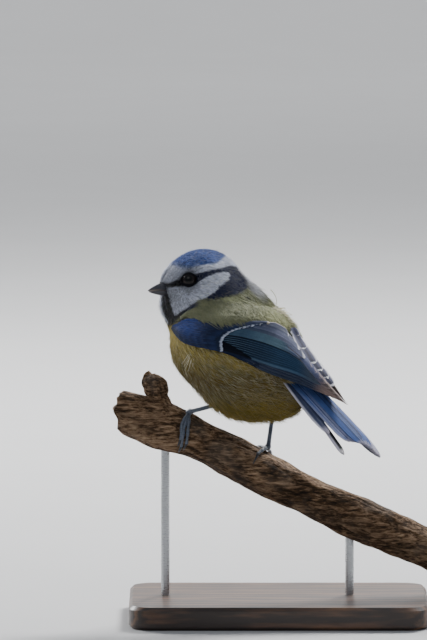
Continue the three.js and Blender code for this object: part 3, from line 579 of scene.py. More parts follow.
class Board:
    """Short words for laying out a node tree. A material's board knows its shader too."""

    def __init__(self, tree, shader=None):
        self.tree = tree
        self.shader = shader

    def node(self, kind, inputs=None, **settings):
        made = self.tree.nodes.new(kind)
        for key, value in settings.items():
            setattr(made, key, value)
        for key, value in (inputs or {}).items():
            self.feed(made.inputs[key], value)
        return made

    def feed(self, socket, value):
        if isinstance(value, bpy.types.NodeSocket):
            self.tree.links.new(value, socket)
        else:
            socket.default_value = value

    def maths(self, operation, a, b=0.5):
        return self.node("ShaderNodeMath", {0: a, 1: b}, operation=operation).outputs[0]

    def plus(self, a, b):
        return self.maths("ADD", a, b)

    def times(self, a, b):
        return self.maths("MULTIPLY", a, b)

    def blend(self, share, a, b, kind="MIX"):
        return self.node(
            "ShaderNodeMix", {0: share, 6: a, 7: b}, data_type="RGBA", blend_type=kind,
        ).outputs[2]

    def shade(self, colour, gain):
        """The colour times a grey."""
        grey = self.node("ShaderNodeCombineColor", {"Red": gain, "Green": gain, "Blue": gain}).outputs[0]
        return self.blend(1.0, colour, grey, "MULTIPLY")

    def ramp(self, value, stops):
        made = self.node("ShaderNodeValToRGB", {"Fac": value})
        while len(made.color_ramp.elements) < len(stops):
            made.color_ramp.elements.new(0.5)
        for element, (place, colour) in zip(made.color_ramp.elements, stops):
            element.position = place
            element.color = (*colour, 1)
        return made.outputs[0]

    def object_place(self):
        return self.node("ShaderNodeTexCoord").outputs["Object"]

    def laid(self, place, **mapping):
        return self.node("ShaderNodeMapping", {"Vector": place, **mapping}).outputs[0]

    def noise(self, place, scale, detail, **more):
        inputs = {"Vector": place, "Scale": scale, "Detail": detail, **more}
        return self.node("ShaderNodeTexNoise", inputs).outputs["Fac"]

    def point_colour(self, output="Color"):
        return self.node("ShaderNodeAttribute", attribute_name="Plumage").outputs[output]

    def own_map(self):
        """Places across and along a shell on its own map."""
        uv = self.node("ShaderNodeUVMap", uv_map="Along").outputs["UV"]
        apart = self.node("ShaderNodeSeparateXYZ", {"Vector": uv})
        return apart.outputs["X"], apart.outputs["Y"]

    def mottle(self, colour, scale, amount):
        """The mottle group's colour and height for a colour."""
        inputs = {"Colour": colour, "Scale": scale, "Amount": amount}
        made = self.node("ShaderNodeGroup", inputs, node_tree=mottle_group())
        return made.outputs["Colour"], made.outputs["Height"]

    def paint(self, colour):
        self.feed(self.shader.inputs["Base Color"], colour)

    def bump(self, height, strength, distance):
        inputs = {"Height": height, "Strength": strength, "Distance": distance}
        self.feed(self.shader.inputs["Normal"], self.node("ShaderNodeBump", inputs).outputs[0])


def rgba(colour):
    return (*[float(c) for c in colour], 1.0)


def finish_material(name, **sockets):
    """A material and its board. Every plain value goes on the Principled shader's own socket."""
    material = bpy.data.materials.new(name)
    material.use_nodes = True
    shader = material.node_tree.nodes["Principled BSDF"]
    for key, value in sockets.items():
        shader.inputs[key.replace("_", " ")].default_value = value
    return material, Board(material.node_tree, shader)


def mottle_group():
    """Uneven tone, made once: a colour times 1 + 4 amount (n - 0.5), n being 0.6 of a broad noise and
    0.4 of one six times finer over the object's own space."""
    if "Mottle" in bpy.data.node_groups:
        return bpy.data.node_groups["Mottle"]
    tree = bpy.data.node_groups.new("Mottle", "ShaderNodeTree")
    tree.interface.new_socket("Colour", in_out="INPUT", socket_type="NodeSocketColor")
    for label, default in (("Scale", 300.0), ("Amount", 0.3)):
        socket = tree.interface.new_socket(label, in_out="INPUT", socket_type="NodeSocketFloat")
        socket.default_value = default
    tree.interface.new_socket("Colour", in_out="OUTPUT", socket_type="NodeSocketColor")
    tree.interface.new_socket("Height", in_out="OUTPUT", socket_type="NodeSocketFloat")
    board = Board(tree)
    start, end = board.node("NodeGroupInput").outputs, board.node("NodeGroupOutput").inputs
    place = board.object_place()
    broad = board.noise(place, start["Scale"], 4.0)
    fine = board.noise(place, board.times(start["Scale"], 6.0), 3.0)
    both = board.plus(board.times(broad, 0.6), board.times(fine, 0.4))
    swing = board.times(board.maths("SUBTRACT", both, 0.5), board.times(start["Amount"], 4.0))
    board.feed(end["Colour"], board.shade(start["Colour"], board.plus(swing, 1.0)))
    board.feed(end["Height"], both)
    return tree


def plumage_material(name, roughness, amount, sheen):
    """Feather colour from the Plumage attribute, mottled, with fine barbs as bump."""
    sheens = {"Sheen_Weight": sheen, "Sheen_Roughness": 0.4}
    material, board = finish_material(name, Roughness=roughness, Specular_IOR_Level=0.25, **sheens)
    colour, height = board.mottle(board.point_colour(), 260.0, amount)
    board.paint(colour)
    board.bump(height, 0.3, 0.0002)
    return material


def vane_material(name, roughness):
    """Vane colour from the Plumage attribute, with slanting barbs drawn by the vane's own map."""
    material, board = finish_material(name, Roughness=roughness, Specular_IOR_Level=0.07)
    sideways, lengthwise = board.own_map()
    half = board.maths("FRACT", board.times(sideways, 2.0))
    across = board.maths("ABSOLUTE", board.maths("SUBTRACT", half, 0.5))
    slope = board.plus(board.times(lengthwise, 90.0), board.times(across, -18.0))
    barbs = board.plus(board.times(board.maths("SINE", board.times(slope, 6.283)), 0.5), 0.5)
    barbed = board.shade(board.point_colour(), board.plus(board.times(barbs, 0.22), 0.82))
    board.paint(board.mottle(barbed, 180.0, 0.22)[0])
    board.bump(barbs, 0.35, 0.00012)
    return material


def horn_material(name, colour, edge, coat):
    """Horn of bill and claws: dark and mottled, paler where the point colour is bright."""
    material, board = finish_material(name, Roughness=0.38, Coat_Weight=coat, Coat_Roughness=0.25)
    mottled, height = board.mottle(rgba(colour), 500.0, 0.35)
    board.paint(board.blend(board.point_colour("Fac"), mottled, rgba(edge)))
    board.bump(height, 0.25, 0.0001)
    return material


def scale_material():
    """Legs: blue-grey horn plates with dark seams, drawn along the leg's own map."""
    material, board = finish_material("leg_scales", Roughness=0.42, Coat_Weight=0.25, Coat_Roughness=0.3)
    wave = board.maths("FRACT", board.times(board.own_map()[1], 9.0))
    stops = ((0.0, 0.25), (0.1, 1.0), (0.85, 1.0), (1.0, 0.25))
    seam = board.ramp(wave, [(place, (grey,) * 3) for place, grey in stops])
    colour, _ = board.mottle(rgba(tint("4c5563")), 420.0, 0.3)
    board.paint(board.blend(0.6, colour, seam, "MULTIPLY"))
    board.bump(seam, 0.5, 0.00015)
    return material


def bark_material():
    """Weathered bark: long fibres along the branch in tan, brown and near black, with grey patches."""
    material, board = finish_material("bark", Roughness=0.85, Specular_IOR_Level=0.2)
    place = board.object_place()
    laid = board.laid(place, Rotation=(0, math.radians(-25.6), 0), Scale=(0.16, 1, 1))
    fibre = board.noise(laid, 1300.0, 8.0, Roughness=0.7)
    broad = board.noise(laid, 240.0, 6.0, Distortion=0.8)
    tone = board.plus(board.times(fibre, 0.68), board.times(broad, 0.32))
    stops = ((0.38, "160d07"), (0.47, "4d3925"), (0.55, "8c7158"), (0.67, "b99e7e"))
    colour = board.ramp(tone, [(share, tint(code)) for share, code in stops])
    grey = board.ramp(board.noise(place, 70.0, 5.0), ((0.52, (0, 0, 0)), (0.62, (1, 1, 1))))
    mixed = board.blend(board.times(grey, 0.3), colour, rgba(tint("6d655c")))
    # The point colour carries the branch's painted light and shade
    board.paint(board.blend(1.0, mixed, board.point_colour(), "MULTIPLY"))
    board.bump(tone, 0.9, 0.0009)
    return material


def wood_material():
    """Dark waxed walnut: stretched rings of noise."""
    material, board = finish_material("waxed_walnut", Roughness=0.4, Coat_Weight=0.2, Coat_Roughness=0.2)
    laid = board.laid(board.object_place(), Scale=(0.12, 1, 1))
    wave = {"Vector": laid, "Scale": 60.0, "Distortion": 9.0, "Detail": 4.0, "Detail Scale": 2.5}
    rings = board.node("ShaderNodeTexWave", wave, bands_direction="Y").outputs["Fac"]
    pores = board.noise(laid, 1600.0, 2.0)
    tone = board.plus(board.times(rings, 0.7), board.times(pores, 0.3))
    stops = ((0.2, "2a1c13"), (0.6, "4d3423"), (0.9, "6a4a31"))
    board.paint(board.ramp(tone, [(share, tint(code)) for share, code in stops]))
    board.bump(pores, 0.15, 0.0001)
    return material


def steel_material():
    """Brushed steel rods: roughness swings with very fine rings of noise."""
    material, board = finish_material(
        "brushed_steel", Metallic=1.0, Base_Color=rgba(tint("b4b6b8")), Roughness=0.3)
    lines = board.noise(board.laid(board.object_place(), Scale=(1, 1, 12)), 500.0, 3.0)
    board.feed(board.shader.inputs["Roughness"], board.plus(board.times(lines, 0.3), 0.15))
    board.bump(lines, 0.1, 0.00005)
    return material


# ---- Sizes and colours that a user would change ----

class CoatSettings(bpy.types.PropertyGroup):
    """Body feathers."""
    tufts: IntProperty(name="Tufts", description="Number of small body feathers", default=62000, min=1000)
    length: FloatProperty(
        name="Length", description="Length of a body feather's free part", default=0.0052, min=0.001,
        unit="LENGTH",
    )
    width: FloatProperty(
        name="Width", description="Width of a body feather's free part", default=0.00042, min=0.0001,
        unit="LENGTH",
    )
    loft: FloatProperty(
        name="Loft", description="How far the tips stand off the body", default=0.0003, min=0.0,
        unit="LENGTH",
    )


class FinishSettings(bpy.types.PropertyGroup):
    """Colours of bill and eyes."""
    bill: FloatVectorProperty(
        name="Bill", description="Colour of the bill", subtype="COLOR", size=3, default=tuple(tint("34353d")),
    )
    eye: FloatVectorProperty(
        name="Eye", description="Colour of the iris", subtype="COLOR", size=3, default=tuple(tint("1a1210")),
    )


class StageSettings(bpy.types.PropertyGroup):
    """Camera and light."""
    elevation: FloatProperty(
        name="Elevation", description="Height of the view over the horizon", subtype="ANGLE",
        default=math.radians(6),
    )
    distance: FloatProperty(
        name="Distance", description="Distance from camera to bird", default=2.5, unit="LENGTH",
    )
    key: FloatProperty(
        name="Key Light", description="Power of the light from above and behind", default=30.0, min=0,
        unit="POWER",
    )
    fill: FloatProperty(
        name="Fill Light", description="Power of the soft light from the front", default=4.0, min=0,
        unit="POWER",
    )


class TIT_OT_skin(bpy.types.Operator):
    """Body skin under the feathers, one closed surface that stands for head, neck, torso and thighs"""
    bl_idname = "tit.skin"
    bl_label = "Skin"

    def execute(self, context):
        grid = skin_grid(SKIN_ROWS, SKIN_CAP_ROWS, SKIN_COLUMNS)
        points, faces = one_shell(grid)
        # The skin takes the plumage's colours at 0.45: painted shade deep under the feathers
        colours = plumage(points, outward_at(points)) * 0.45
        material = plumage_material("plumage_base", 0.9, 0.3, 0.1)
        covered = ("head", "neck", "torso", "thigh_left", "thigh_right")
        piece("skin", to_stand(points), faces, material, colours, covered)
        return {"FINISHED"}


def blades(line, outward, width, flat):
    """Thin closed blades: a point, two diamond rings of the given width, a point. line[4] are the
    stations of the middle lines, and a ring's height is its width times flat."""
    side = unit(np.cross(unit(line[3] - line[0]), outward))
    rings = []
    for k, share in ((1, 1.0), (2, 0.82)):
        across = side * (width / 2 * share)[:, None]
        over = outward * (width / 2 * share * flat)[:, None]
        rings.append(np.stack([line[k] + across, line[k] + over, line[k] - across, line[k] - over], 1))
    return np.stack(rings, 1), np.stack([line[0], line[3]], 1)


BLADE_SHADE = np.array([0.86] * 4 + [1.0] * 4 + [0.6, 1.12])  # both rings, the root, the tip
TUFT_PATCH = 0.003  # side of a tuft's patch on the map
BILL_CLEAR, EYE_CLEAR = 2.0, 0.35  # no feather grows nearer to the bill's root, or to an eyeball, than this


def coat_piece(name, rings, ends, place, colour, material):
    """One mesh of many blades. Each blade's colour runs from a darker root to a paler tip."""
    points, faces = shells(to_stand(rings), to_stand(ends), place, TUFT_PATCH)
    colours = colour[:, None] * BLADE_SHADE[None, :, None]
    piece(name, points, faces, material, colours.reshape(-1, 3), ())


def follow(root, lie, length, shares, levels):
    """Stations of blades that leave the root along the lie, each brought to its level over the body."""
    line = [root]
    for share, level in zip(shares, levels):
        ahead = line[-1] + lie * (length * share)[:, None]
        normal = outward_at(ahead)
        line.append(ahead + normal * np.clip(level - body_level(ahead), -1.4, 2.4)[:, None])
        lie = unit(line[-1] - line[-2])
    return line


def scatter(grid, weight, count, draw):
    """Roots spread over the skin by the area of the grid's cells times a weight, and their places on
    the skin's unwrap."""
    right = np.roll(grid, -1, 1)
    area = np.linalg.norm(np.cross(right[:-1] - grid[:-1], grid[1:] - grid[:-1]), axis=-1)
    share = area * weight((grid[:-1] + right[1:]) / 2)
    pick = draw.choice(share.size, count, p=(share / share.sum()).ravel())
    columns = grid.shape[1]
    i, j = pick // columns, pick % columns
    a, b = draw.random(count)[:, None], draw.random(count)[:, None]
    here, beside = (edge[i, j] * (1 - a) + edge[i + 1, j] * a for edge in (grid, right))
    root = here * (1 - b) + beside * b
    place = np.concatenate([(j[:, None] + b) / columns, (i[:, None] + a) / (len(grid) - 1)], 1)
    keep = np.linalg.norm(root - from_head([14.4, 0, -1.3]), axis=1) > BILL_CLEAR
    for side, _ in SIDES:
        keep &= np.linalg.norm(root - eye_place(side)[0], axis=1) > EYE_RADIUS + EYE_CLEAR
    return root[keep], place[keep]


def feather_size(root):
    """Size of the body feathers from place to place: smallest at the bill and the eyes."""
    around, height, _ = head_angles(root)
    on_head = smooth(height - edge_height(around, COLLAR_EDGE), -8, 6)
    from_bill = np.linalg.norm(root - from_head([14.0, 0, 0]), axis=1)
    size = (1 - 0.5 * on_head) * (0.25 + 0.75 * smooth(from_bill, 0, 15))
    for side, _ in SIDES:
        from_eye = np.linalg.norm(root - eye_place(side)[0], axis=1)
        size = size * (0.35 + 0.65 * smooth(from_eye, EYE_RADIUS, EYE_RADIUS + 3.0))
    return size


class TIT_OT_coat(bpy.types.Operator):
    """Small body feathers: thin closed blades that follow the plumage's lie over the skin"""
    bl_idname = "tit.coat"
    bl_label = "Body Feathers"

    def execute(self, context):
        settings = context.scene.tit_coat
        draw = np.random.default_rng(SEED)
        grid = skin_grid(*COAT_GRID)

        def weight(middle):
            around, height, _ = head_angles(middle)
            on_head = smooth(height - edge_height(around, COLLAR_EDGE), -6, 4)
            return 1 + 1.6 * on_head + 0.6 * np.clip(fluff(middle), 0, 2)

        root, place = scatter(grid, weight, settings.tufts, draw)
        count = len(root)
        outward = outward_at(root)
        size = feather_size(root) * draw.uniform(0.8, 1.25, count)
        length = settings.length / MM * size
        width = settings.width / MM * (0.42 + 0.58 * smooth(size, 0.2, 0.9)) * draw.uniform(0.7, 1.3, count)
        lie = lie_at(root, outward)
        swing = 0.06 * draw.normal(0, 1, count) + 0.2 * ripple(root, 7.0, 4) + 0.12 * ripple(root, 2.6, 5)
        lie = unit(lie + np.cross(outward, lie) * swing[:, None])
        # Each blade lies at a level of its own, so that the upper ones show along all their length
        share = draw.random(count) ** 0.8
        level = -0.62 + (0.62 + settings.loft / MM * 0.4) * share
        level = level * (0.45 + 0.55 * smooth(size, 0.2, 0.7)) + fluff(root) * (0.8 + 0.2 * share)
        line = follow(
            root, lie, length, (0.28, 0.38, 0.34),
            (level - 0.12, level, level + 0.06 * draw.normal(0, 1, count)),
        )
        rings, ends = blades(line, outward, width, 0.32)
        over = onto_level(line[2], np.zeros(count))
        colour = with_fleck(plumage(over, outward), over)
        around, height, _ = head_angles(over)
        on_cap = smooth(height - edge_height(around, CAP_EDGE), -4, 3)
        flow = together(place[:, 0] * 150, place[:, 1] * 9, 0)
        # Painted shade between the blades: the lower a blade lies, the darker it is
        tone = 0.72 + 0.4 * share + 0.1 * ripple(flow, 1.0, 3) + 0.09 * ripple(root, 3.0, 6)
        tone = tone * np.clip(1 + draw.normal(0, 0.13, count) * (1 + 1.6 * on_cap), 0.45, 1.7)
        colour = colour * tone[:, None]
        material = plumage_material("plumage", 0.78, 0.12, 0.3)
        order = np.argsort(place[:, 1])
        names = ("coat_vent", "coat_belly", "coat_flank", "coat_back", "coat_breast", "coat_head")
        for name, part in zip(names, np.array_split(order, len(names))):
            coat_piece(name, rings[part], ends[part], place[part], colour[part], material)
        self.wisps(context, grid, draw, material)
        self.scapulars(grid, draw, material)
        self.strands(material)
        return {"FINISHED"}

    def wisps(self, context, grid, draw, material):
        """Loose hair-fine tips that stand off the body, most of them under it and on the nape and back."""

        def weight(middle):
            below, nape = smooth(-middle[..., 2], 4, 16), bell_at(middle, from_head([-12, 0, 4]), 7)
            ruffle, cheek = bell_at(middle, RUFFLE, 5), bell_at(middle, FAR_CHEEK, 4)
            return 0.5 + 2.2 * below + 3.0 * nape + 9.0 * ruffle + 7.0 * cheek

        root, place = scatter(grid, weight, WISPS, draw)
        count = len(root)
        outward = outward_at(root)
        ruffle, cheek = bell_at(root, RUFFLE, 4.2), bell_at(root, FAR_CHEEK, 4)
        size = feather_size(root) * draw.uniform(0.7, 1.3, count)
        lie = lie_at(root, outward)
        swing = 0.3 * draw.normal(0, 1, count) + 0.3 * ripple(root, 3.0, 9)
        lie = unit(lie + np.cross(outward, lie) * swing[:, None])
        free = draw.random(count) ** 1.8
        below = smooth(-root[:, 2], 7, 15)
        rise = (0.2 + 1.15 * free) * (1 + 0.9 * below) * (0.35 + 0.65 * smooth(size, 0.2, 0.8))
        rise = rise * (1 + 1.0 * ruffle + 0.8 * cheek)
        base = fluff(root)
        length = context.scene.tit_coat.length / MM * size * (1.0 + 0.3 * ruffle + 0.3 * below)
        line = follow(root, lie, length, (0.34, 0.36, 0.4), (base - 0.1, base + rise * 0.4, base + rise))
        width = draw.uniform(0.1, 0.2, count) * (0.6 + 0.4 * size) * (1 + 0.6 * below)
        rings, ends = blades(line, outward, width, 0.6)
        colour = plumage(onto_level(line[2], np.zeros(count)), outward)
        # Painted rim light: the further a loose tip stands off, the more it goes to a pale colour
        pale = mix(tint("ddd8b8"), tint("b39c45"), below)
        colour = mix(colour, pale, 0.03 + 0.45 * free) * draw.uniform(0.85, 1.2, count)[:, None]
        coat_piece("coat_wisps", rings, ends, place, colour, material)

    def scapulars(self, grid, draw, material):
        """Back feathers that lie from the swollen coat onto the wing's upper edge."""
        rough = grid[::3, ::3].reshape(-1, 3)
        rows, columns = (len(part) for part in (grid[::3], grid[0, ::3]))
        for side, word, lower, upper in wing_sides():
            count = SCAPULARS
            # Height over the wing: full in front, 0.7 mm over its rear
            full = 2.3 if side > 0 else 0.4
            s = 0.02 + 0.78 * draw.random(count)
            full = full - (full - 0.7) * smooth(s, 0.42, 0.72)
            share = draw.random(count)
            end = np.interp(s, *SCAPULAR_EDGE[word]) + 0.05 * ripple(together(s * WING_LENGTH, 0, 0), 3.0, 14)
            end = end + 0.6 * share + 0.045 * draw.normal(0, 1, count)
            run = draw.uniform(0.05, 0.1, count)
            start = end + draw.uniform(0.22, 0.42, count)
            depth = 0.35 * draw.random(count) ** 1.5 * (1 - 0.3 * share)
            line = []
            for along, sink in ((0.0, 0.7), (0.35, 0.15), (0.7, 0.0), (1.0, 0.04)):
                t = start + (end - start) * along
                at = s + run * (along - 1)
                over_wing = wing_point(lower, upper, side, at, np.minimum(t, 1.1), full - sink - depth)
                body = wing_point(lower, upper, side, at, t, 0.0)
                over_body = onto_level(body, fluff(body) + 0.25 - sink - depth)
                line.append(mix(over_wing, over_body, smooth(t, 0.98, 1.3)))
            above, under = (
                wing_point(lower, upper, side, s, np.minimum(end, 1), height) for height in (3.0, 1.0)
            )
            outward = unit(above - under)
            rings, ends = blades(line, outward, draw.uniform(0.13, 0.26, count), 0.3)
            # Painted shade: a blade that sinks deeper under the others is darker
            tone = 0.98 - 0.55 * depth + 0.1 * ripple(line[2], 3.0, 6)
            tone = tone + 0.08 * ripple(line[2] * [1, 1, 3], 1.6, 8)
            tone = tone * np.clip(1 + draw.normal(0, 0.1, count), 0.6, 1.5)
            flat = onto_level(line[2], np.zeros(count))
            back = mix(MANTLE, RUMP, smooth(-flat[:, 0], 10, 20))
            on_back = smooth(flat[:, 2], 5, 9) * smooth(-flat[:, 0], -9, -6)
            colour = with_fleck(mix(plumage(flat, outward), back, on_back), flat) * tone[:, None]
            # Place on the unwrap: that of the nearest point of the skin
            near = (
                (line[0] ** 2).sum(-1)[:, None] - 2 * line[0] @ rough.T + (rough**2).sum(-1)[None]
            ).argmin(1)
            place = np.stack([(near % columns) / columns, (near // columns) / rows], -1)
            coat_piece(f"coat_scapulars_{word}", rings, ends, place, colour, material)

    def strands(self, material):
        """Hair-fine feathers that have come loose: a curl and tufts on the back, and a spray under the
        wing's bend."""
        k = np.linspace(0, 1, STRAND_ROWS)
        lines = [curve_at(CURL, k)]
        k = k[:, None]
        for n, end in enumerate(SPRAY_ENDS):
            start = np.array(SPRAY_ROOT) + [0.45 * (n % 4) - 0.7, 0, 0.2 * (n % 3)]
            lines.append(start + (np.array(end) - start) * k + np.array([0.5, -1.0, 0.3]) * (k * (1 - k) * 2))
        draw = np.random.default_rng(SEED + 9)
        for _ in range(TUFT_STRANDS):
            share = draw.random()
            start = TUFT_LINE[0] + (TUFT_LINE[1] - TUFT_LINE[0]) * share + draw.normal(0, [0.4, 1.0, 0.3])
            way = np.array([1.0, 0.1 * draw.normal(), -0.05 - 0.35 * share + 0.12 * draw.normal()])
            lines.append(
                start + way * draw.uniform(2.4, 4.8) * k + np.array([0, 0, 0.5 * draw.normal()]) * k**2
            )
        taper = 1 - 0.6 * k[:, 0]
        thick = [0.15] + [0.08] * len(SPRAY_ENDS) + [0.12] * TUFT_STRANDS
        rings = np.stack([tube(line, radius * taper, 6) for line, radius in zip(lines, thick)])
        points, faces = shells(rings, middles(rings), together(0.012 * np.arange(len(rings)), 0), TUFT_PATCH)
        colours = np.repeat(tint("efe9cf")[None], len(points), 0)
        piece("coat_strands", points, faces, material, colours, ())


WISPS = 12000
SCAPULARS = 11500  # on each side
STRAND_ROWS = 24
TUFT_STRANDS = 70
WING_LENGTH = 62

# Lower edge of the back feathers over each wing: share of the wing's length, height across it
SCAPULAR_EDGE = {
    "left": (
        (0.0, 0.12, 0.19, 0.3, 0.385, 0.46, 0.56, 0.66, 0.72, 0.8),
        (1.1, 1.04, 0.95, 0.8, 0.74, 0.78, 0.92, 1.08, 1.16, 1.3),
    ),
    "right": ((0.0, 0.19, 0.385, 0.56, 0.66, 0.72, 0.8), (1.1, 0.9, 0.75, 0.75, 0.8, 0.95, 1.2)),
}
# Loose strands, in the model's frame
TUFT_LINE = np.array([(-2.6, -5.6, 109.2), (2.2, -6.0, 105.0)])
CURL = (
    (-3.0, -5, 115.5), (-1.9, -5, 114.4), (-1.1, -5, 112.8), (-0.8, -5, 111.0), (-1.1, -5, 109.6),
    (-2.2, -5, 108.6), (-4.0, -5, 107.6),
)
SPRAY_ROOT = (-30.2, -12.6, 94.6)
SPRAY_ENDS = (
    (-33.7, -14, 90.6), (-32.6, -14.4, 88.4), (-31.5, -14.6, 88.0), (-30.0, -14.8, 89.6), (-29.5, -15, 91.6),
    (-32.3, -14.2, 91.2), (-31.0, -14.6, 89.8), (-33.0, -14, 89.6),
)
# Places where the loose tips stand off most, in the bird's frame
RUFFLE = np.array([-16.5, -5.0, 14.8])
FAR_CHEEK = np.array([24.2, 9.0, 16.5])


def wing_sides():
    return ((1, "left", WING_LOWER, WING_UPPER), (-1, "right", WING_LOWER_RIGHT, WING_UPPER_RIGHT))


EYE_PLACE = (9.4, 8.8, 2.6)
EYE_RADIUS = 2.6
EYE_DEPTH = 1.75
BALL_ROWS, BALL_COLUMNS = 34, 48
LID_COLUMNS, LID_SECTION = 64, 14


def eye_place(side):
    """Centre of the eyeball and the way it looks: below the surface by the eye's depth."""
    surface = from_head([[EYE_PLACE[0], side * EYE_PLACE[1], EYE_PLACE[2]]])
    look = outward_at(surface, 0.5)
    surface = surface - look * body_level(surface)[:, None]
    return (surface - look * EYE_DEPTH)[0], look[0]


class TIT_OT_eyes(bpy.types.Operator):
    """Glossy dark eyes, each a sphere with its pupil towards the look, and the rim of bare lid round it"""
    bl_idname = "tit.eyes"
    bl_label = "Eyes"

    def execute(self, context):
        iris_colour = np.array(context.scene.tit_finish.eye[:])
        material, board = finish_material("eye", Roughness=0.05, IOR=1.38, Specular_IOR_Level=0.4)
        board.paint(board.mottle(board.point_colour(), 900.0, 0.4)[0])
        lid, board = finish_material("eyelid", Roughness=0.85, Specular_IOR_Level=0.1)
        colour, height = board.mottle(rgba(tint("121216")), 800.0, 0.5)
        board.paint(colour)
        board.bump(height, 0.5, 0.0001)
        for side, word in SIDES:
            centre, look = eye_place(side)
            up = unit(np.array([0, 0, 1.0]) - look * look[2])
            across = np.cross(up, look)
            # Sphere: angle from the look down each ring, and the turn round it
            down = np.linspace(0, math.pi, BALL_ROWS)[1:-1, None, None]
            turn = np.linspace(0, 2 * math.pi, BALL_COLUMNS, endpoint=False)[None, :, None]
            ring = look * np.cos(down) + (across * np.cos(turn) + up * np.sin(turn)) * np.sin(down)
            ends = np.stack([centre + look * EYE_RADIUS, centre - look * EYE_RADIUS])
            points, faces = one_shell(centre + EYE_RADIUS * ring, ends)
            facing = unit(points - centre) @ look
            iris = smooth(-facing, -math.cos(math.radians(28)), -math.cos(math.radians(33)))
            colours = mix(tint("020202"), iris_colour, iris)
            piece(f"eyeball_{word}", to_stand(points), faces, material, colours, (f"eye_{word}",))
            points, faces = self.lid(centre, look, across, up)
            piece(f"eyelid_{word}", to_stand(points), (faces,), lid, None, ())
        return {"FINISHED"}

    def lid(self, centre, look, across, up):
        """A ring round the look: its section is an oval, thickest above and below, thin at both corners."""
        turn = np.linspace(0, 2 * math.pi, LID_COLUMNS, endpoint=False)
        part = np.linspace(0, 2 * math.pi, LID_SECTION, endpoint=False)
        reach = EYE_RADIUS * (0.93 - 0.19 * np.sin(turn) ** 2 + 0.08 * np.cos(turn) ** 8)
        wide = 0.34 + 0.24 * np.sin(turn) ** 2
        lean = 0.32 + 0.05 * np.sin(turn * 9) ** 2
        radial = across * np.cos(turn)[:, None] + up * np.sin(turn)[:, None]
        middle = radial * reach[:, None] + look * np.sqrt(np.maximum(EYE_RADIUS**2 - reach**2, 0))[:, None]
        middle = centre + middle
        flat, deep = np.cos(part) * wide[:, None], np.sin(part) * lean[:, None]
        points = (middle[:, None] + radial[:, None] * flat[..., None] + look * deep[..., None]).reshape(-1, 3)
        n, k = LID_COLUMNS, LID_SECTION
        row, col = (a.ravel() for a in np.meshgrid(np.arange(n), np.arange(k), indexing="ij"))
        next_row, next_col = (row + 1) % n, (col + 1) % k
        faces = together(row * k + col, next_row * k + col, next_row * k + next_col, row * k + next_col)
        corners = ((col, row), (col, row + 1), (col + 1, row + 1), (col + 1, row))
        uv = np.stack([together(sideways / k, up_to / n) for sideways, up_to in corners], 1)
        a, b, c = (points[faces[:, i]] for i in (0, 1, 2))
        # Turned when its faces look towards the middle of the section
        if ((a - np.repeat(middle, k, 0)[faces[:, 0]]) * np.cross(b - a, c - a)).sum() < 0:
            faces, uv = faces[:, ::-1], uv[:, ::-1]
        return points, (faces, uv, uv)


BILL_ROOT = 11.6
BILL_TIP = 21.1
BILL_WIDTH = 4.3
BILL_RISE = 3.0
BILL_DROP = 2.5
MOUTH_LEVEL = -1.5
MOUTH_BEND = 0.42  # how far the mouth's line drops on its way to the tip
BILL_ROWS = 40
NOSTRIL = (16.6, 0.15)  # forward, up


class TIT_OT_bill(bpy.types.Operator):
    """Short stout bill: two half cones with a rounded ridge, the upper one slightly longer and hooked over"""
    bl_idname = "tit.bill"
    bl_label = "Bill"

    def execute(self, context):
        colour = np.array(context.scene.tit_finish.bill[:])
        material = horn_material("bill_horn", colour, tint("8d7a68"), 0.15)
        along = np.linspace(0, 1, BILL_ROWS)[:, None]
        turn = np.linspace(0, math.pi, 25)
        for upper, word in ((True, "upper"), (False, "lower")):
            way = 1 if upper else -1
            reach = BILL_TIP if upper else BILL_TIP - 0.45
            rise = BILL_RISE if upper else BILL_DROP
            # Half section: cosine across, a power of the sine up, both shrinking towards the tip
            narrow = (1 - along**1.25) ** 0.75 * 0.94 + 0.03
            high = (1 - along**1.7) ** 0.8 * 0.96 + 0.03
            x = BILL_ROOT + (reach - BILL_ROOT) * along
            level = MOUTH_LEVEL - MOUTH_BEND * along**2 - (0 if upper else 0.12)
            outside = together(
                x, BILL_WIDTH / 2 * narrow * np.cos(turn), level + way * rise * high * np.sin(turn) ** 0.85,
            )
            inside = together(x, BILL_WIDTH / 2 * narrow * np.linspace(-1, 1, 9)[1:-1], level + way * 0.03)
            rings = np.concatenate([outside, inside], 1)
            if upper:
                # Nostril: a small round dent on each side near the root
                for side, _ in SIDES:
                    dent = bell(rings[..., 0] - NOSTRIL[0], 0.42) * bell(rings[..., 2] - NOSTRIL[1], 0.3)
                    rings[..., 1] -= side * 0.55 * dent * (rings[..., 1] * side > 0.3)
            points, faces = one_shell(rings)
            # Paler along the mouth
            mouth = MOUTH_LEVEL - MOUTH_BEND * ((points[:, 0] - BILL_ROOT) / (reach - BILL_ROOT)) ** 2
            edge = bell(points[:, 2] - mouth, 0.35) * smooth(np.abs(points[:, 1]), 0.15, 0.5)
            edge = edge * (0.7 * smooth(points[:, 0], 15.5, 18.5) if upper else 0.3)
            points = to_stand(from_head(points))
            piece(f"bill_horn_{word}", points, faces, material, greys(edge), (f"bill_{word}",))
        return {"FINISHED"}


def wing_point(lower, upper, side, s, t, height):
    """Point over the wing's sheet: on the line from lower to upper edge at s, raised by a bulge
    4 t (1 - t) of its width and by the height, and kept clear of the body."""
    s, t, height = np.broadcast_arrays(s, t, height)
    flip = np.array([1, side, 1])
    a, b = curve_at(lower, s) * flip, curve_at(upper, s) * flip
    ahead = (curve_at(lower, s + 0.01) - curve_at(lower, s - 0.01)) * flip
    across = b - a
    out = unit(np.cross(ahead, across)) * side
    bulge = WING_BULGE * np.linalg.norm(across, axis=-1) * 4 * t * (1 - t) - WING_DEPTH
    point = a + across * t[..., None] + out * bulge[..., None]
    lift = np.maximum(WING_CLEAR - body_level(point), 0)
    return point + out * (lift + height)[..., None]


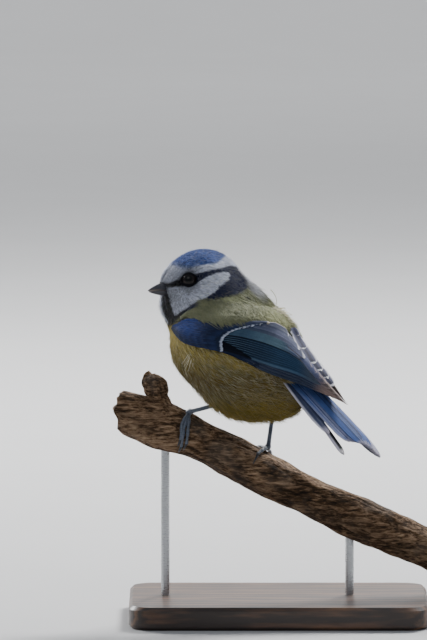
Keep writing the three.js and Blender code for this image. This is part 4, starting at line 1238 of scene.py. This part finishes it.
def roof_point(s, t, height):
    """Point on the ruled surface between the roof lines, raised by the height and kept clear of the body."""
    s, t, height = np.broadcast_arrays(s, t, height)
    a, b = curve_at(ROOF_NEAR, s), curve_at(ROOF_FAR, s)
    out = unit(np.cross(b - a, curve_at(ROOF_NEAR, s + 0.02) - curve_at(ROOF_NEAR, s - 0.02)))
    out = out * np.where(out[..., 2:] < 0, -1, 1)
    point = a + (b - a) * t[..., None]
    lift = np.maximum(ROOF_CLEAR - body_level(point), 0)
    return point + out * (lift + height)[..., None]


def vanes(table, rows, columns, place, centre=None):
    """Many thin vanes laid by place(lengthwise, sideways, height). A row of the table is root and tip
    in the first measure, root and tip in the second, half width at root and tip, height, share of the
    length in the rounded tip. The half width is an ellipse's over the tip, the back is arched by
    1 - |x|^1.5, a rib stands along the middle, and the under face lies a lens's thickness below."""
    p0, p1, q0, q1, w0, w1, height, tip = (table[:, i][:, None, None] for i in range(8))
    a = (1 - (1 - np.linspace(0, 1, rows)) ** 1.4)[None, :, None]
    x = np.linspace(-1, 1, columns)
    face = np.concatenate([np.ones(columns), -np.ones(columns - 2)])[None, None]
    x = np.concatenate([x, x[-2:0:-1]])[None, None]
    end = np.clip((a - (1 - tip)) / tip, 0, 0.985)
    wide = np.minimum(0.6 + a, 1) * np.sqrt(1 - end**2)
    q = (q0 + (q1 - q0) * a if centre is None else centre(a)) + x * (w0 + (w1 - w0) * a) * wide
    lens = 0.08 * face * (1 - x**2) * (1 - 0.6 * a)
    rib = 0.09 * bell(x, 0.08) * (face > 0) * (columns > 6)
    top = height + 0.15 * (1 - np.abs(x) ** 1.5) + rib - 0.1 * a**3 + lens
    rings = place(p0 + (p1 - p0) * a + 0 * q, q, top)
    return rings, middles(rings), a + 0 * q, x + 0 * q


def vane_piece(name, sets, material, stands_for):
    """Joins sets of vanes (rings, ends, colours) in one mesh, each vane with its own cell of the map."""
    total = sum(len(rings) for rings, _, _ in sets)
    cells = math.ceil(math.sqrt(total))
    points, faces, colours, first, done = [], [], [], 0, 0
    for rings, ends, colour in sets:
        n = len(rings)
        patch = grid_cells(np.arange(done, done + n), cells, 0.002)
        new, new_faces = shells(to_stand(rings), to_stand(ends), patch, 0.96 / cells)
        faces += [(corners + first, *maps) for corners, *maps in new_faces]
        colours.append(np.concatenate([colour.reshape(n, -1, 3), middles(colour)], 1).reshape(-1, 3))
        points.append(new)
        first, done = first + len(new), done + n
    piece(name, np.concatenate(points), faces, material, np.concatenate(colours), stands_for)


def ramp_between(a, b, count):
    """Rows of numbers that go evenly from a to b."""
    a, b = np.asarray(a, float), np.asarray(b, float)
    return a + (b - a) * np.linspace(0, 1, count)[:, None]


# How closely the feathers lie: places along the wing, shares of their heights there and of the width.
# The wing away from the viewer is folded closer.
WING_FOLD = {
    "left": (
        (0.0, 0.5, 0.66, 0.74, 0.84, 1.0), (1.0, 1.0, 1.0, 0.8, 0.5, 0.3), (1.0, 1.0, 1.0, 1.0, 0.9, 1.0),
    ),
    "right": (
        (0.0, 0.5, 0.6, 0.66, 0.72, 1.0), (0.3, 0.3, 0.2, 0.2, 0.3, 0.3),
        (0.95, 0.92, 0.82, 0.82, 0.92, 0.95),
    ),
}

# The far wing's inner feathers lie over the rump between these lines, from the back towards the wing's tip
ROOF_NEAR = (
    (-21.2, 2.3, 9.7), (-24.7, 4.4, 5.9), (-27.7, 5.6, 1.9), (-30.1, 5.7, -1.4), (-33.5, 5.1, -5.0),
    (-38.2, 3.2, -9.5),
)
ROOF_FAR = (
    (-20.5, -5.8, 9.2), (-23.8, -5.9, 5.0), (-28.1, -3.6, 1.6), (-31.8, -2.3, -1.6), (-35.2, -1.8, -4.7),
    (-38.7, -1.4, -8.5),
)

# Place of the greater coverts' white tips on the wing: share of its length, height across it
WING_BAR = (
    (0.436, 0.03), (0.425, 0.14), (0.417, 0.28), (0.42, 0.42), (0.436, 0.55), (0.462, 0.68), (0.497, 0.78),
    (0.536, 0.88), (0.578, 0.97), (0.615, 1.03),
)

# Rows of vanes from the lowest feather to the highest. Each feather: place along the wing of its root and
# tip, across it of both, half width at both, height, share of the length in the rounded tip
PRIMARIES = ramp_between(
    (0.22, 1.0, 0.2, 0.35, 0.2, 0.5, 0.05, 0.2), (0.5, 0.86, 0.42, 0.72, 0.16, 0.34, 0.75, 0.14), 8,
)
SECONDARIES = ramp_between(
    (0.34, 0.89, 0.06, 0.2, 0.07, 0.1, 0.78, 0.1), (0.4, 0.82, 0.46, 0.5, 0.07, 0.09, 1.15, 0.12), 8,
)
INNER_SECONDARIES = (
    (0.4, 0.8, 0.54, 0.6, 0.1, 0.12, 1.2, 0.12), (0.42, 0.785, 0.68, 0.74, 0.11, 0.13, 1.3, 0.12),
)
TERTIALS = (
    (0.5, 0.83, 0.78, 0.84, 0.12, 0.2, 1.36, 0.12), (0.54, 0.805, 0.86, 0.95, 0.13, 0.2, 1.44, 0.14),
    (0.58, 0.74, 0.94, 1.04, 0.13, 0.16, 1.52, 0.16),
)
PRIMARY_COVERTS = ramp_between(
    (0.2, 0.58, 0.1, 0.05, 0.09, 0.07, 1.0, 0.2), (0.2, 0.46, 0.3, 0.2, 0.09, 0.07, 1.3, 0.2), 4,
)
FAR_TERTIALS = (
    (0.0, 0.12, 0.4, 0.5, 0.4, 0.45, 1.0, 0.5), (0.0, 0.33, 0.45, 0.5, 0.4, 0.5, 0.85, 0.35),
    (0.1, 0.61, 0.5, 0.55, 0.4, 0.5, 0.7, 0.4), (0.25, 0.76, 0.5, 0.6, 0.42, 0.5, 0.55, 0.4),
    (0.4, 0.89, 0.5, 0.62, 0.42, 0.5, 0.42, 0.36), (0.55, 1.0, 0.5, 0.62, 0.42, 0.5, 0.3, 0.32),
)
GREATER_COVERTS = 20
LESSER_ROWS = 8
FLIGHT_MESH, COVERT_MESH, GREATER_MESH, LESSER_MESH, ROOF_MESH = (34, 13), (20, 9), (20, 7), (9, 5), (30, 13)


class TIT_OT_wings(bpy.types.Operator):
    """Folded wings: flight feathers and rows of coverts, each feather a thin curved vane"""
    bl_idname = "tit.wings"
    bl_label = "Wings"

    def execute(self, context):
        material = vane_material("wing_vanes", 0.6)
        for side, word, lower, upper in wing_sides():
            self.wing(side, word, lower, upper, material)
        return {"FINISHED"}

    def wing(self, side, word, lower, upper, material):
        draw = np.random.default_rng(SEED + 5)
        fold = WING_FOLD[word]
        sets = []

        def place(s, t, height):
            shares = [np.interp(s, fold[0], row) for row in fold[1:]]
            return wing_point(lower, upper, side, s, t * shares[1], height * shares[0])

        def add(table, mesh, paint, over=place):
            table = np.asarray(table, float)
            rings, ends, a, x = vanes(table, *mesh, over)
            k = np.linspace(0, 1, len(table))[:, None, None] + 0 * a
            s, t = (table[:, i][:, None, None] * (1 - a) + table[:, i + 1][:, None, None] * a for i in (0, 2))
            tone = np.clip(1 + draw.normal(0, 0.07, len(table)), 0.8, 1.2)[:, None, None, None]
            sets.append((rings, ends, paint(a, x, k, s, t) * tone))

        add(PRIMARIES, FLIGHT_MESH, self.primary)
        add(SECONDARIES, FLIGHT_MESH, self.secondary)
        add(INNER_SECONDARIES, FLIGHT_MESH, self.inner_secondary)
        add(TERTIALS, FLIGHT_MESH, self.tertial)
        add(PRIMARY_COVERTS, COVERT_MESH, self.primary_covert)
        bar = together(*np.transpose(WING_BAR), 0)
        k = np.linspace(0, 1, GREATER_COVERTS)
        tips = curve_at(bar, k) + draw.normal(0, 1, (GREATER_COVERTS, 1)) * [[0.0013, 0, 0]]
        height = 1.66 + 0.04 * (np.arange(GREATER_COVERTS) % 2)
        table = together(
            tips[:, 0] - 0.17, tips[:, 0], 0.12 + 0.74 * k, tips[:, 1], 0.07, 0.062, height, 0.14,
        )
        add(table, GREATER_MESH, self.greater_covert)
        for row in range(LESSER_ROWS):
            many = 13 - row // 2
            k = np.linspace(0, 1, many)
            s = curve_at(bar, k * 0.8)[:, 0] - 0.04 - 0.046 * row - 0.012 * (k - 0.5)
            s = s + draw.uniform(-0.006, 0.006, many)
            t = 0.05 + k * (0.83 - 0.04 * (row < 3)) + draw.uniform(-0.01, 0.01, many)
            height = 1.85 + 0.03 * row + 0.02 * (np.arange(many) % 2)
            table = together(s - 0.09, s, t * 0.96 + 0.02, t, 0.06, 0.07, height, 0.35)
            add(table, LESSER_MESH, self.lesser_covert)
        if side < 0:
            add(FAR_TERTIALS, ROOF_MESH, self.far_tertial, roof_point)
        vane_piece(f"wing_feathers_{word}", sets, material, (f"wing_{word}",))

    # Colours of a row by the share a along a vane and x across it, k the vane's place in the row from the
    # lowest, and s and t the places on the wing
    def primary(self, a, x, k, s, t):
        tip = smooth(s - 0.06 * (t - 0.4), 0.85, 0.93)
        return painted(
            tint("14203a"),
            ("5a6182", 0.8 * smooth(t, 0.4, 0.62) * smooth(s, 0.6, 0.75)),
            ("5f534e", tip),
            ("7d8694", 0.28 * smooth(-x, 0.88, 0.96) * smooth(s, 0.5, 0.65) * (1 - tip)),
            ("a08a83", 0.7 * smooth(np.abs(x), 0.5, 0.9) * tip),
            ("b9aaa4", 0.6 * smooth(a, 0.965, 0.99)),
        )

    def secondary(self, a, x, k, s, t):
        line = smooth(-x, 0.38, 0.5) * (1 - 0.6 * smooth(-x, 0.8, 0.95))
        line = line * np.where(k > 0.01, 1, 0.35)
        return painted(
            tint("1b2b3f"),
            ("344f6c", smooth(s, 0.5, 0.8)),
            ("0a0f18", smooth(x, -0.3, 0.3)),
            ("7f9db5", (0.62 - 0.25 * k) * line * (1 - 0.6 * smooth(s, 0.72, 0.84))),
            ("55575f", 0.6 * smooth(s, 0.78, 0.86)),
        )

    def inner_secondary(self, a, x, k, s, t):
        return painted(
            tint("40566b"),
            ("5c7584", smooth(s, 0.5, 0.66)),
            ("4c5672", smooth(s, 0.68, 0.78)),
            ("4d6679", 0.5 * smooth(-x, 0.6, 0.85)),
            ("6b707d", 0.6 * smooth(a, 0.94, 0.985)),
        )

    def tertial(self, a, x, k, s, t):
        return painted(
            tint("6d728a"),
            ("53596f", smooth(x, -0.6, 0.4)),
            ("2c4053", 0.6 * (1 - smooth(s, 0.56, 0.7)) * (1 - k)),
            ("a39a92", 0.85 * smooth(np.abs(x), 0.84, 0.94) * smooth(a, 0.1, 0.4)),
            ("e3e4ea", smooth(a, 0.95, 0.975)),
        )

    def far_tertial(self, a, x, k, s, t):
        return painted(
            tint("565871"),
            ("2b2d40", bell(x, 0.35)),
            ("ecebf0", 0.9 * smooth(np.abs(x), 0.6, 0.85) * smooth(a, 0.2, 0.5)),
            # Painted shadow: a dark band just inside each white tip
            ("2e3040", 0.6 * smooth(a, 0.8, 0.86) * (1 - smooth(np.abs(x), 0.5, 0.8))),
            ("f2f1f4", smooth(a, 0.92, 0.95)),
        )

    def primary_covert(self, a, x, k, s, t):
        return painted(tint("0c1018"), ("1b2742", 0.7 * smooth(-x, 0.2, 0.9)))

    def greater_covert(self, a, x, k, s, t):
        web = painted(tint("202a40"), ("434b62", smooth(k, 0.5, 0.95)))
        web = painted(web, ("1f3052", 0.5 * smooth(-x, 0.0, 0.9) * (1 - k)))
        pale = mix(tint("b9c1d4"), tint("b0a897"), smooth(k, 0.85, 0.97))
        return mix(web, pale, smooth(a, 0.9, 0.935))

    def lesser_covert(self, a, x, k, s, t):
        web = painted(
            tint("242f4e"),
            ("30468a", (1 - smooth(s, 0.17, 0.34)) * smooth(t + s, 0.2, 0.75)),
            ("3a4668", 0.6 * smooth(t, 0.55, 0.85) * smooth(s, 0.2, 0.4)),
        )
        # Painted shade where the row above overlaps: each covert is darker towards its root
        return web * (0.6 + 0.5 * smooth(a, 0.2, 0.85))[..., None]


# Tail feathers from the near side to the far one: length, place across the tail at the root, a third,
# two thirds and the tip, half width, height at the root and at the tip, share in the rounded tip
TAIL_VANES = (
    (39.6, 4.6, 6.8, 8.6, 9.4, 2.5, -0.5, -0.6, 0.22),
    (48.8, 4.0, 5.2, 7.6, 10.2, 1.5, -0.35, -1.4, 0.08),
    (45.8, 3.0, 4.7, 5.0, 4.6, 2.7, -0.2, 0.0, 0.14),
    (46.6, 2.4, 3.2, 3.6, 3.2, 2.8, -0.05, 0.1, 0.14),
    (47.6, 1.8, 2.0, 2.2, 2.0, 3.0, 0.15, 0.3, 0.14),
    (48.8, 0.6, 1.2, 1.2, 0.9, 3.1, 0.4, 0.55, 0.14),
    (49.6, -0.2, 0.4, 0.4, 0.0, 3.1, 0.3, 0.45, 0.14),
    (50.6, -0.8, -0.2, -0.4, -0.6, 3.0, 0.1, 0.2, 0.14),
    (51.6, -1.4, -0.8, -1.0, -1.2, 2.9, -0.1, 0.0, 0.14),
    (53.0, -1.8, -1.2, -1.4, -1.6, 2.8, -0.3, -0.2, 0.16),
    (54.4, -2.2, -1.4, -1.8, -1.8, 2.8, -0.5, -0.4, 0.18),
    (55.6, -2.6, -1.6, -2.1, -2.4, 2.8, -0.7, -0.6, 0.22),
)
TAIL_MESH, TAIL_COVERT_MESH = (40, 15), (16, 7)
TAIL_COVERTS = 9


class TIT_OT_tail(bpy.types.Operator):
    """Tail of twelve feathers that fan from one root, with coverts over it"""
    bl_idname = "tit.tail"
    bl_label = "Tail"

    def execute(self, context):
        swing = about_z(-TAIL_SWING)
        lie = swing @ np.array([-math.cos(TAIL_PITCH), 0, -math.sin(TAIL_PITCH)])
        left = swing @ np.array([0, 1.0, 0])
        left = left * math.cos(TAIL_ROLL) + np.cross(lie, left) * math.sin(TAIL_ROLL)
        rise = unit(np.cross(lie, left))
        rise = -rise if rise[2] < 0 else rise
        table = np.array(TAIL_VANES)

        def place(along, across, height):
            return TAIL_ROOT + lie * along[..., None] + left * across[..., None] + rise * height[..., None]

        def twisted(along, across, height):
            return place(along, across, height + low + (high - low) * along / np.maximum(along.max(), 1))

        def centre(a):
            """Cubic through a feather's four places, at the shares a of its length."""
            return curve_at(table[:, 1:5].T, a[0, :, 0]).T[:, :, None]

        low, high = table[:, 6][:, None, None], table[:, 7][:, None, None]
        rows = together(0, table[:, 0], 0, 0, table[:, 5] * 0.8, table[:, 5], 0, table[:, 8])
        rings, ends, a, x = vanes(rows, *TAIL_MESH, twisted, centre)
        k = np.arange(len(table))[:, None, None] + 0 * a
        sets = [(rings, ends, self.colours(a, x, k))]
        side = np.linspace(0.5, -0.5, TAIL_COVERTS)
        rows = together(
            0, 21 - 9 * np.abs(side), 1 + 3 * side, 1 + 8 * side, 1.6, 1.9, 1.0 - 1.4 * np.abs(side), 0.35,
        )
        rings, ends, a, x = vanes(rows, *TAIL_COVERT_MESH, place)
        sets.append((rings, ends, painted(tint("8a9564"), ("4a689c", smooth(a, 0.4, 0.9)))))
        vane_piece("tail_feathers", sets, vane_material("tail_vanes", 0.48), ("tail",))
        return {"FINISHED"}

    def colours(self, a, x, k):
        """Blue webs with dark shafts and inner webs; the outermost pair edged white, tips paler. k counts
        the feathers from the near side."""
        blue = painted(tint("48619a"), ("26345a", smooth(np.where(k < 6, -x, x), 0.1, 0.9)))
        blue = painted(blue, ("1c2232", 0.85 * bell(x, 0.07)))
        colour = painted(blue, ("858cab", 0.5 * smooth(np.abs(x), 0.84, 0.95) * smooth(a, 0.3, 0.7)))
        strip = painted(blue, ("a3a5bf", 0.7 * smooth(x, 0.35, 0.75) * smooth(a, 0.35, 0.8)))
        outer = painted(
            tint("3c4460"), ("cfcddb", smooth(x, 0.5, 0.66)), ("a9a6b8", 0.9 * smooth(a, 0.9, 0.96)),
        )
        thin = painted(tint("17191f"), ("a8a5b3", smooth(x, 0.0, 0.4)), ("dcdad8", smooth(a, 0.95, 0.97)))
        edge = painted(tint("262e48"), ("aeadc4", smooth(-x, 0.2, 0.45)))
        for first, last, special in ((2, 4, strip), (0, 0, outer), (1, 1, thin), (9, 11, edge)):
            colour = np.where(((k >= first) & (k <= last))[..., None], special, colour)
        return painted(colour, ("a9a3ac", 0.7 * smooth(a, 0.955, 0.985)))


def perch_axis(u):
    """Middle of the perch at a share u of its length, its along, top and near directions, and its length."""
    fine = curve_at(PERCH_LINE, np.linspace(0, 1, 800))
    run = np.concatenate([[0], np.cumsum(np.linalg.norm(np.diff(fine, axis=0), axis=1))])
    place = np.asarray(u, float) * run[-1]
    middle, after, before = (
        np.stack([np.interp(place + step, run, fine[:, i]) for i in range(3)], -1) for step in (0, 0.5, -0.5))
    along = unit(after - before)
    near = np.array([0, -1.0, 0])
    top = unit(-np.cross(along, near))
    return middle, along, top, near, run[-1]


def round_perch(u, turn, shift, distance):
    """Point at a distance from the perch's middle, turned from its top towards the viewer, at a share u of
    its length and shifted along it by millimetres."""
    _, _, _, near, length = perch_axis(0)
    middle, _, top, _, _ = perch_axis(np.asarray(u) + np.asarray(shift) / length)
    angle = np.radians(turn)[..., None]
    return middle + np.asarray(distance)[..., None] * (top * np.cos(angle) + near * np.sin(angle))


PERCH_MESH, STUB_MESH = (330, 150), (90, 96)


class TIT_OT_perch(bpy.types.Operator):
    """Cut length of branch with a snapped stub: a round bar whose radius swells, cracks and frays"""
    bl_idname = "tit.perch"
    bl_label = "Perch"

    def execute(self, context):
        material = bark_material()
        self.branch(material)
        self.stub(material)
        return {"FINISHED"}

    def branch(self, material):
        rows, columns = PERCH_MESH
        u = np.linspace(0, 1, rows)[:, None]
        middle, along, top, near, length = perch_axis(u[:, 0])
        turn = (np.arange(columns) / columns * 2 * math.pi)[None]
        around = together(np.cos(turn), np.sin(turn), u * length / PERCH_RADIUS)
        swell = 1 + 0.05 * np.sin(u * 19) + 0.08 * bell(u - 0.16, 0.06)
        drawn = around * [PERCH_RADIUS, PERCH_RADIUS, 1]
        fibre = ripple(drawn * [1, 1, 0.9], 1.5, 21) * 0.12 + ripple(drawn, 3.2, 22) * 0.16
        lumps = ripple(around * PERCH_RADIUS, 8, 23) * 0.22
        cracks = -0.35 * smooth(ripple(drawn * [1, 1, 0.5], 2.2, 24), 0.55, 0.95)
        under = 1.1 * bell(u - 0.14, 0.075) * smooth(-np.cos(turn), -0.2, 0.8)
        relief = fibre + lumps + cracks - 0.15 + under
        radius = PERCH_RADIUS * swell + 0.35 * np.sin(turn * 3 + u * 9) + relief
        radius = radius * (1 - 0.1 * np.exp(-u * 90))
        torn = 0.8 * ripple(around * PERCH_RADIUS, 3.0, 25) + 4.6 * smooth(-np.cos(turn), -0.1, 1.0)
        torn = torn * np.exp(-u * 40)
        out = top[:, None] * np.cos(turn)[..., None] + near * np.sin(turn)[..., None]
        points, faces = one_shell(
            middle[:, None] + radius[..., None] * out + along[:, None] * torn[..., None]
        )
        # Painted light and shade: paler on top, darker underneath, and darker in the relief's hollows, these
        # partly the bark's own cracks and partly painted shade
        shade = (0.62 + 0.5 * smooth(relief, -0.5, 0.25)) * (0.7 + 0.55 * smooth(np.cos(turn), -0.6, 0.9))
        shade = np.concatenate([shade.ravel(), [0.5, 0.8]])
        piece("branch", points, faces, material, greys(shade), ("perch",))

    def stub(self, material):
        foot, tip = np.array(STUB_FOOT, float), np.array(STUB_TOP, float)
        k = np.linspace(0, 1, STUB_MESH[0])[:, None]
        turn = np.linspace(0, 2 * math.pi, STUB_MESH[1], endpoint=False)[None]
        around = together(np.cos(turn) * STUB_RADIUS, np.sin(turn) * STUB_RADIUS, k * 16)
        relief = 0.16 * ripple(around * [1, 1, 0.3], 1.2, 31) + 0.3 * ripple(around, 4, 32)
        radius = STUB_RADIUS * np.interp(k, STUB_SHARES, STUB_SIZES) + relief
        lift = smooth(k, 0.8, 1) * (0.5 * ripple(around * [1, 1, 0], 2.6, 33) - 0.5 * np.cos(turn))
        section = together(radius * np.cos(turn), radius * np.sin(turn), lift)
        points, faces = one_shell(foot + (tip - foot) * k[..., None] + section)
        # Darker in the relief's hollows: partly the bark's own cracks, partly painted shade
        shade = np.concatenate([(0.7 + 0.4 * smooth(relief, -0.4, 0.4)).ravel(), [0.5, 0.55]])
        piece("branch_stub", points, faces, material, greys(shade), ())


LEG_ROWS, LEG_SIDES = 60, 24
CLAW_ROWS, CLAW_SIDES = 24, 16
PAD_ROWS = 20


class TIT_OT_legs(bpy.types.Operator):
    """Slender scaled legs, toes that grip the perch, and curved claws"""
    bl_idname = "tit.legs"
    bl_label = "Legs"

    def execute(self, context):
        scales = scale_material()
        horn = horn_material("claw_horn", tint("26282e"), tint("4a4a50"), 0.2)
        for word, foot in FEET.items():
            self.leg(word, foot, scales, horn)
        return {"FINISHED"}

    def leg(self, word, foot, scales, horn):
        def around(turn, shift, distance):
            return round_perch(foot["u"], np.asarray(turn), shift, np.asarray(distance))

        joint = around(foot["turn"], 0, PERCH_RADIUS + GAP + foot["stand"])
        # The tarsus runs towards the heel until it enters the body
        upward = unit(np.array(foot["heel"], float) - joint)
        steps = joint + upward * np.arange(0, 30, 0.1)[:, None]
        start = steps[np.argmax(body_level(to_bird(steps)) <= 0.0)]
        k = np.linspace(0, 1, LEG_ROWS)
        line = joint + (start + upward * 1.0 - joint) * k[:, None]
        radii = TARSUS_RADIUS * (1 + 0.16 * bell(k, 0.12) + 0.1 * smooth(k, 0.75, 1))
        plates = lambda along, turn: 0.05 * (1 - ((along * 11) % 1)) * smooth(np.cos(turn), -0.2, 0.6)
        points, faces = one_shell(tube(line, radii, LEG_SIDES, plates))
        piece(f"tarsus_skin_{word}", points, faces, scales, None, (f"tarsus_{word}",))
        toes, claws = [], []
        lifted = PERCH_RADIUS + GAP + TOE_RADIUS + 0.1
        for end, shift_middle, shift_end, claw_turn in foot["toes"]:
            turn = foot["turn"] + (end - foot["turn"]) * k
            line = around(
                turn, np.interp(k, [0, 0.5, 1], [0, shift_middle, shift_end]), np.full(LEG_ROWS, lifted),
            )
            radii = TOE_RADIUS * (1.05 - 0.28 * k) * (1 + 0.14 * np.cos(k * 3 * 2 * math.pi))
            toes.append(tube(line, radii, LEG_SIDES, lambda along, turn: 0.05 * (1 - ((along * 12) % 1))))
            out = np.linspace(0, 1, CLAW_ROWS)
            height = lifted - 0.9 * out**2 + 0.35 * np.sin(out * math.pi)
            line = around(end + np.sign(claw_turn) + claw_turn * out, np.full(CLAW_ROWS, shift_end), height)
            claws.append(tube(line, 0.54 - 0.44 * out**0.8, CLAW_SIDES))
        toes, claws = np.stack(toes), np.stack(claws)
        patch = grid_cells(np.arange(len(toes)), 2, 0.005)
        points, faces = shells(toes, middles(toes), patch, 0.48)
        piece(f"toes_{word}", points, faces, scales, None, (f"foot_{word}",))
        # Pad: a spindle from above the joint down to the bark
        below = around(foot["turn"], 0, PERCH_RADIUS + 0.6)
        middle = joint + (below - joint) * np.linspace(-0.6, 1, PAD_ROWS)[:, None]
        points, faces = one_shell(tube(middle, 1.15 * np.sin(np.linspace(0.5, 2.5, PAD_ROWS)), LEG_SIDES))
        piece(f"foot_pad_{word}", points, faces, scales, None, ())
        points, faces = shells(claws, middles(claws), patch, 0.48)
        names = [f"claw_{word}_{i}" for i in range(1, 5)]
        piece(f"claws_{word}", points, faces, horn, np.zeros((len(points), 3)), names)


class TIT_OT_stand(bpy.types.Operator):
    """Walnut base and steel rods of the display stand, finished on the solids themselves"""
    bl_idname = "tit.stand"
    bl_label = "Stand"

    def execute(self, context):
        wood, steel = wood_material(), steel_material()
        for name, material in (("stand_base", wood), ("stand_rod_left", steel), ("stand_rod_right", steel)):
            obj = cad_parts[name]
            obj.data.materials.clear()
            obj.data.materials.append(material)
        return {"FINISHED"}


# Stage, in metres: the floor's flat end, the bend behind it and the wall, and the camera's aim
FLOOR_FRONT, FLOOR_END, FLOOR_BEND, WALL_TOP, FLOOR_HALF = -4.0, 2.9, 0.6, 4.0, 4
AIM = Vector((-22.7 * MM, 0, 104.4 * MM))
SENSOR, LENS = 36, 405
SKY_COLOUR, SKY_POWER = (0.8, 0.87, 1.0, 1), 0.34
# Lamps: place from the aim, size, share of the key's and of the fill's power
LAMPS = {
    "key": ((0.45, 0.75, 0.85), 0.35, 1.0, 0),
    "rim": ((-0.75, 0.7, 0.35), 0.4, 0.45, 0),
    "fill": ((-0.5, -1.0, 1.2), 0.9, 0, 1.0),
    "backdrop": ((0.0, 2.6, 1.5), 1.8, 1.1, 0),
}


class TIT_OT_stage(bpy.types.Operator):
    """Pale floor that curves up behind, soft light, and the camera at the picture's angle"""
    bl_idname = "tit.stage"
    bl_label = "Stage"

    def execute(self, context):
        self.floor()
        world = bpy.data.worlds.new("studio")
        world.use_nodes = True
        background = world.node_tree.nodes["Background"].inputs
        background[0].default_value, background[1].default_value = SKY_COLOUR, SKY_POWER
        context.scene.world = world
        settings = context.scene.tit_stage
        for name, (place, size, key, fill) in LAMPS.items():
            lamp = bpy.data.lights.new(name, "AREA")
            lamp.size, lamp.energy = size, settings.key * key + settings.fill * fill
            place = AIM + Vector(place)
            # The backdrop's lamp shines straight down on the bend, the others on the bird
            self.put(context, name, lamp, place, Vector((0, 0, -1)) if name == "backdrop" else AIM - place)
        camera = bpy.data.cameras.new("camera")
        camera.sensor_width, camera.lens, camera.clip_end = SENSOR, LENS, 20
        back = Vector((0, -math.cos(settings.elevation), math.sin(settings.elevation)))
        context.scene.camera = self.put(context, "camera", camera, AIM + back * settings.distance, -back)
        return {"FINISHED"}

    def put(self, context, name, data, place, look):
        """An object with its -Z axis along the look."""
        obj = bpy.data.objects.new(name, data)
        obj.location = place
        obj.rotation_mode = "QUATERNION"
        obj.rotation_quaternion = look.to_track_quat("-Z", "Y")
        context.scene.collection.objects.link(obj)
        return obj

    def floor(self):
        """Profile drawn out sideways: flat, a quarter circle, then upright."""
        material, board = finish_material("pale_floor", Roughness=0.8)
        board.paint(board.mottle((0.5, 0.5, 0.5, 1), 3.0, 0.03)[0])
        bend = np.linspace(0, math.pi / 2, 24)
        y = np.concatenate(
            [[FLOOR_FRONT, FLOOR_END], FLOOR_END + FLOOR_BEND * np.sin(bend), [FLOOR_END + FLOOR_BEND]]
        )
        z = np.concatenate([[0, 0], FLOOR_BEND - FLOOR_BEND * np.cos(bend), [WALL_TOP]])
        points = together(np.linspace(-FLOOR_HALF, FLOOR_HALF, 9)[None], y[:, None], z[:, None])
        r, c = points.shape[:2]
        row, col = (v.ravel() for v in np.meshgrid(np.arange(r - 1), np.arange(c - 1), indexing="ij"))
        faces = together(row * c + col, row * c + col + 1, (row + 1) * c + col + 1, (row + 1) * c + col)
        uv = np.zeros((len(faces), 4, 2))
        floor = piece("floor", points.reshape(-1, 3) / MM, ((faces, uv, uv),), material, body=False)


OPERATORS = (
    TIT_OT_skin, TIT_OT_coat, TIT_OT_eyes, TIT_OT_bill, TIT_OT_wings, TIT_OT_tail,
    TIT_OT_legs, TIT_OT_perch, TIT_OT_stand, TIT_OT_stage,
)


class TIT_PT_panel(bpy.types.Panel):
    """Lists the pieces of the model and their sizes"""
    bl_idname = "TIT_PT_panel"
    bl_label = "Blue Tit Model"
    bl_space_type = "VIEW_3D"
    bl_region_type = "UI"
    bl_category = "Blue Tit"

    def draw(self, context):
        for settings in (context.scene.tit_coat, context.scene.tit_finish, context.scene.tit_stage):
            for key in settings.__annotations__:
                self.layout.prop(settings, key)
        for operator in OPERATORS:
            self.layout.operator(operator.bl_idname)


SETTINGS = (("tit_coat", CoatSettings), ("tit_finish", FinishSettings), ("tit_stage", StageSettings))


def register():
    for name, kind in SETTINGS:
        bpy.utils.register_class(kind)
        setattr(bpy.types.Scene, name, PointerProperty(type=kind))
    for kind in (*OPERATORS, TIT_PT_panel):
        bpy.utils.register_class(kind)


def unregister():
    for kind in reversed((*OPERATORS, TIT_PT_panel)):
        bpy.utils.unregister_class(kind)
    for name, kind in reversed(SETTINGS):
        delattr(bpy.types.Scene, name)
        bpy.utils.unregister_class(kind)


def main():
    register()
    for step in (
        bpy.ops.tit.skin, bpy.ops.tit.coat, bpy.ops.tit.eyes, bpy.ops.tit.bill, bpy.ops.tit.wings,
        bpy.ops.tit.tail, bpy.ops.tit.legs, bpy.ops.tit.perch, bpy.ops.tit.stand, bpy.ops.tit.stage,
    ):
        step()


if __name__ == "__main__":
    main()
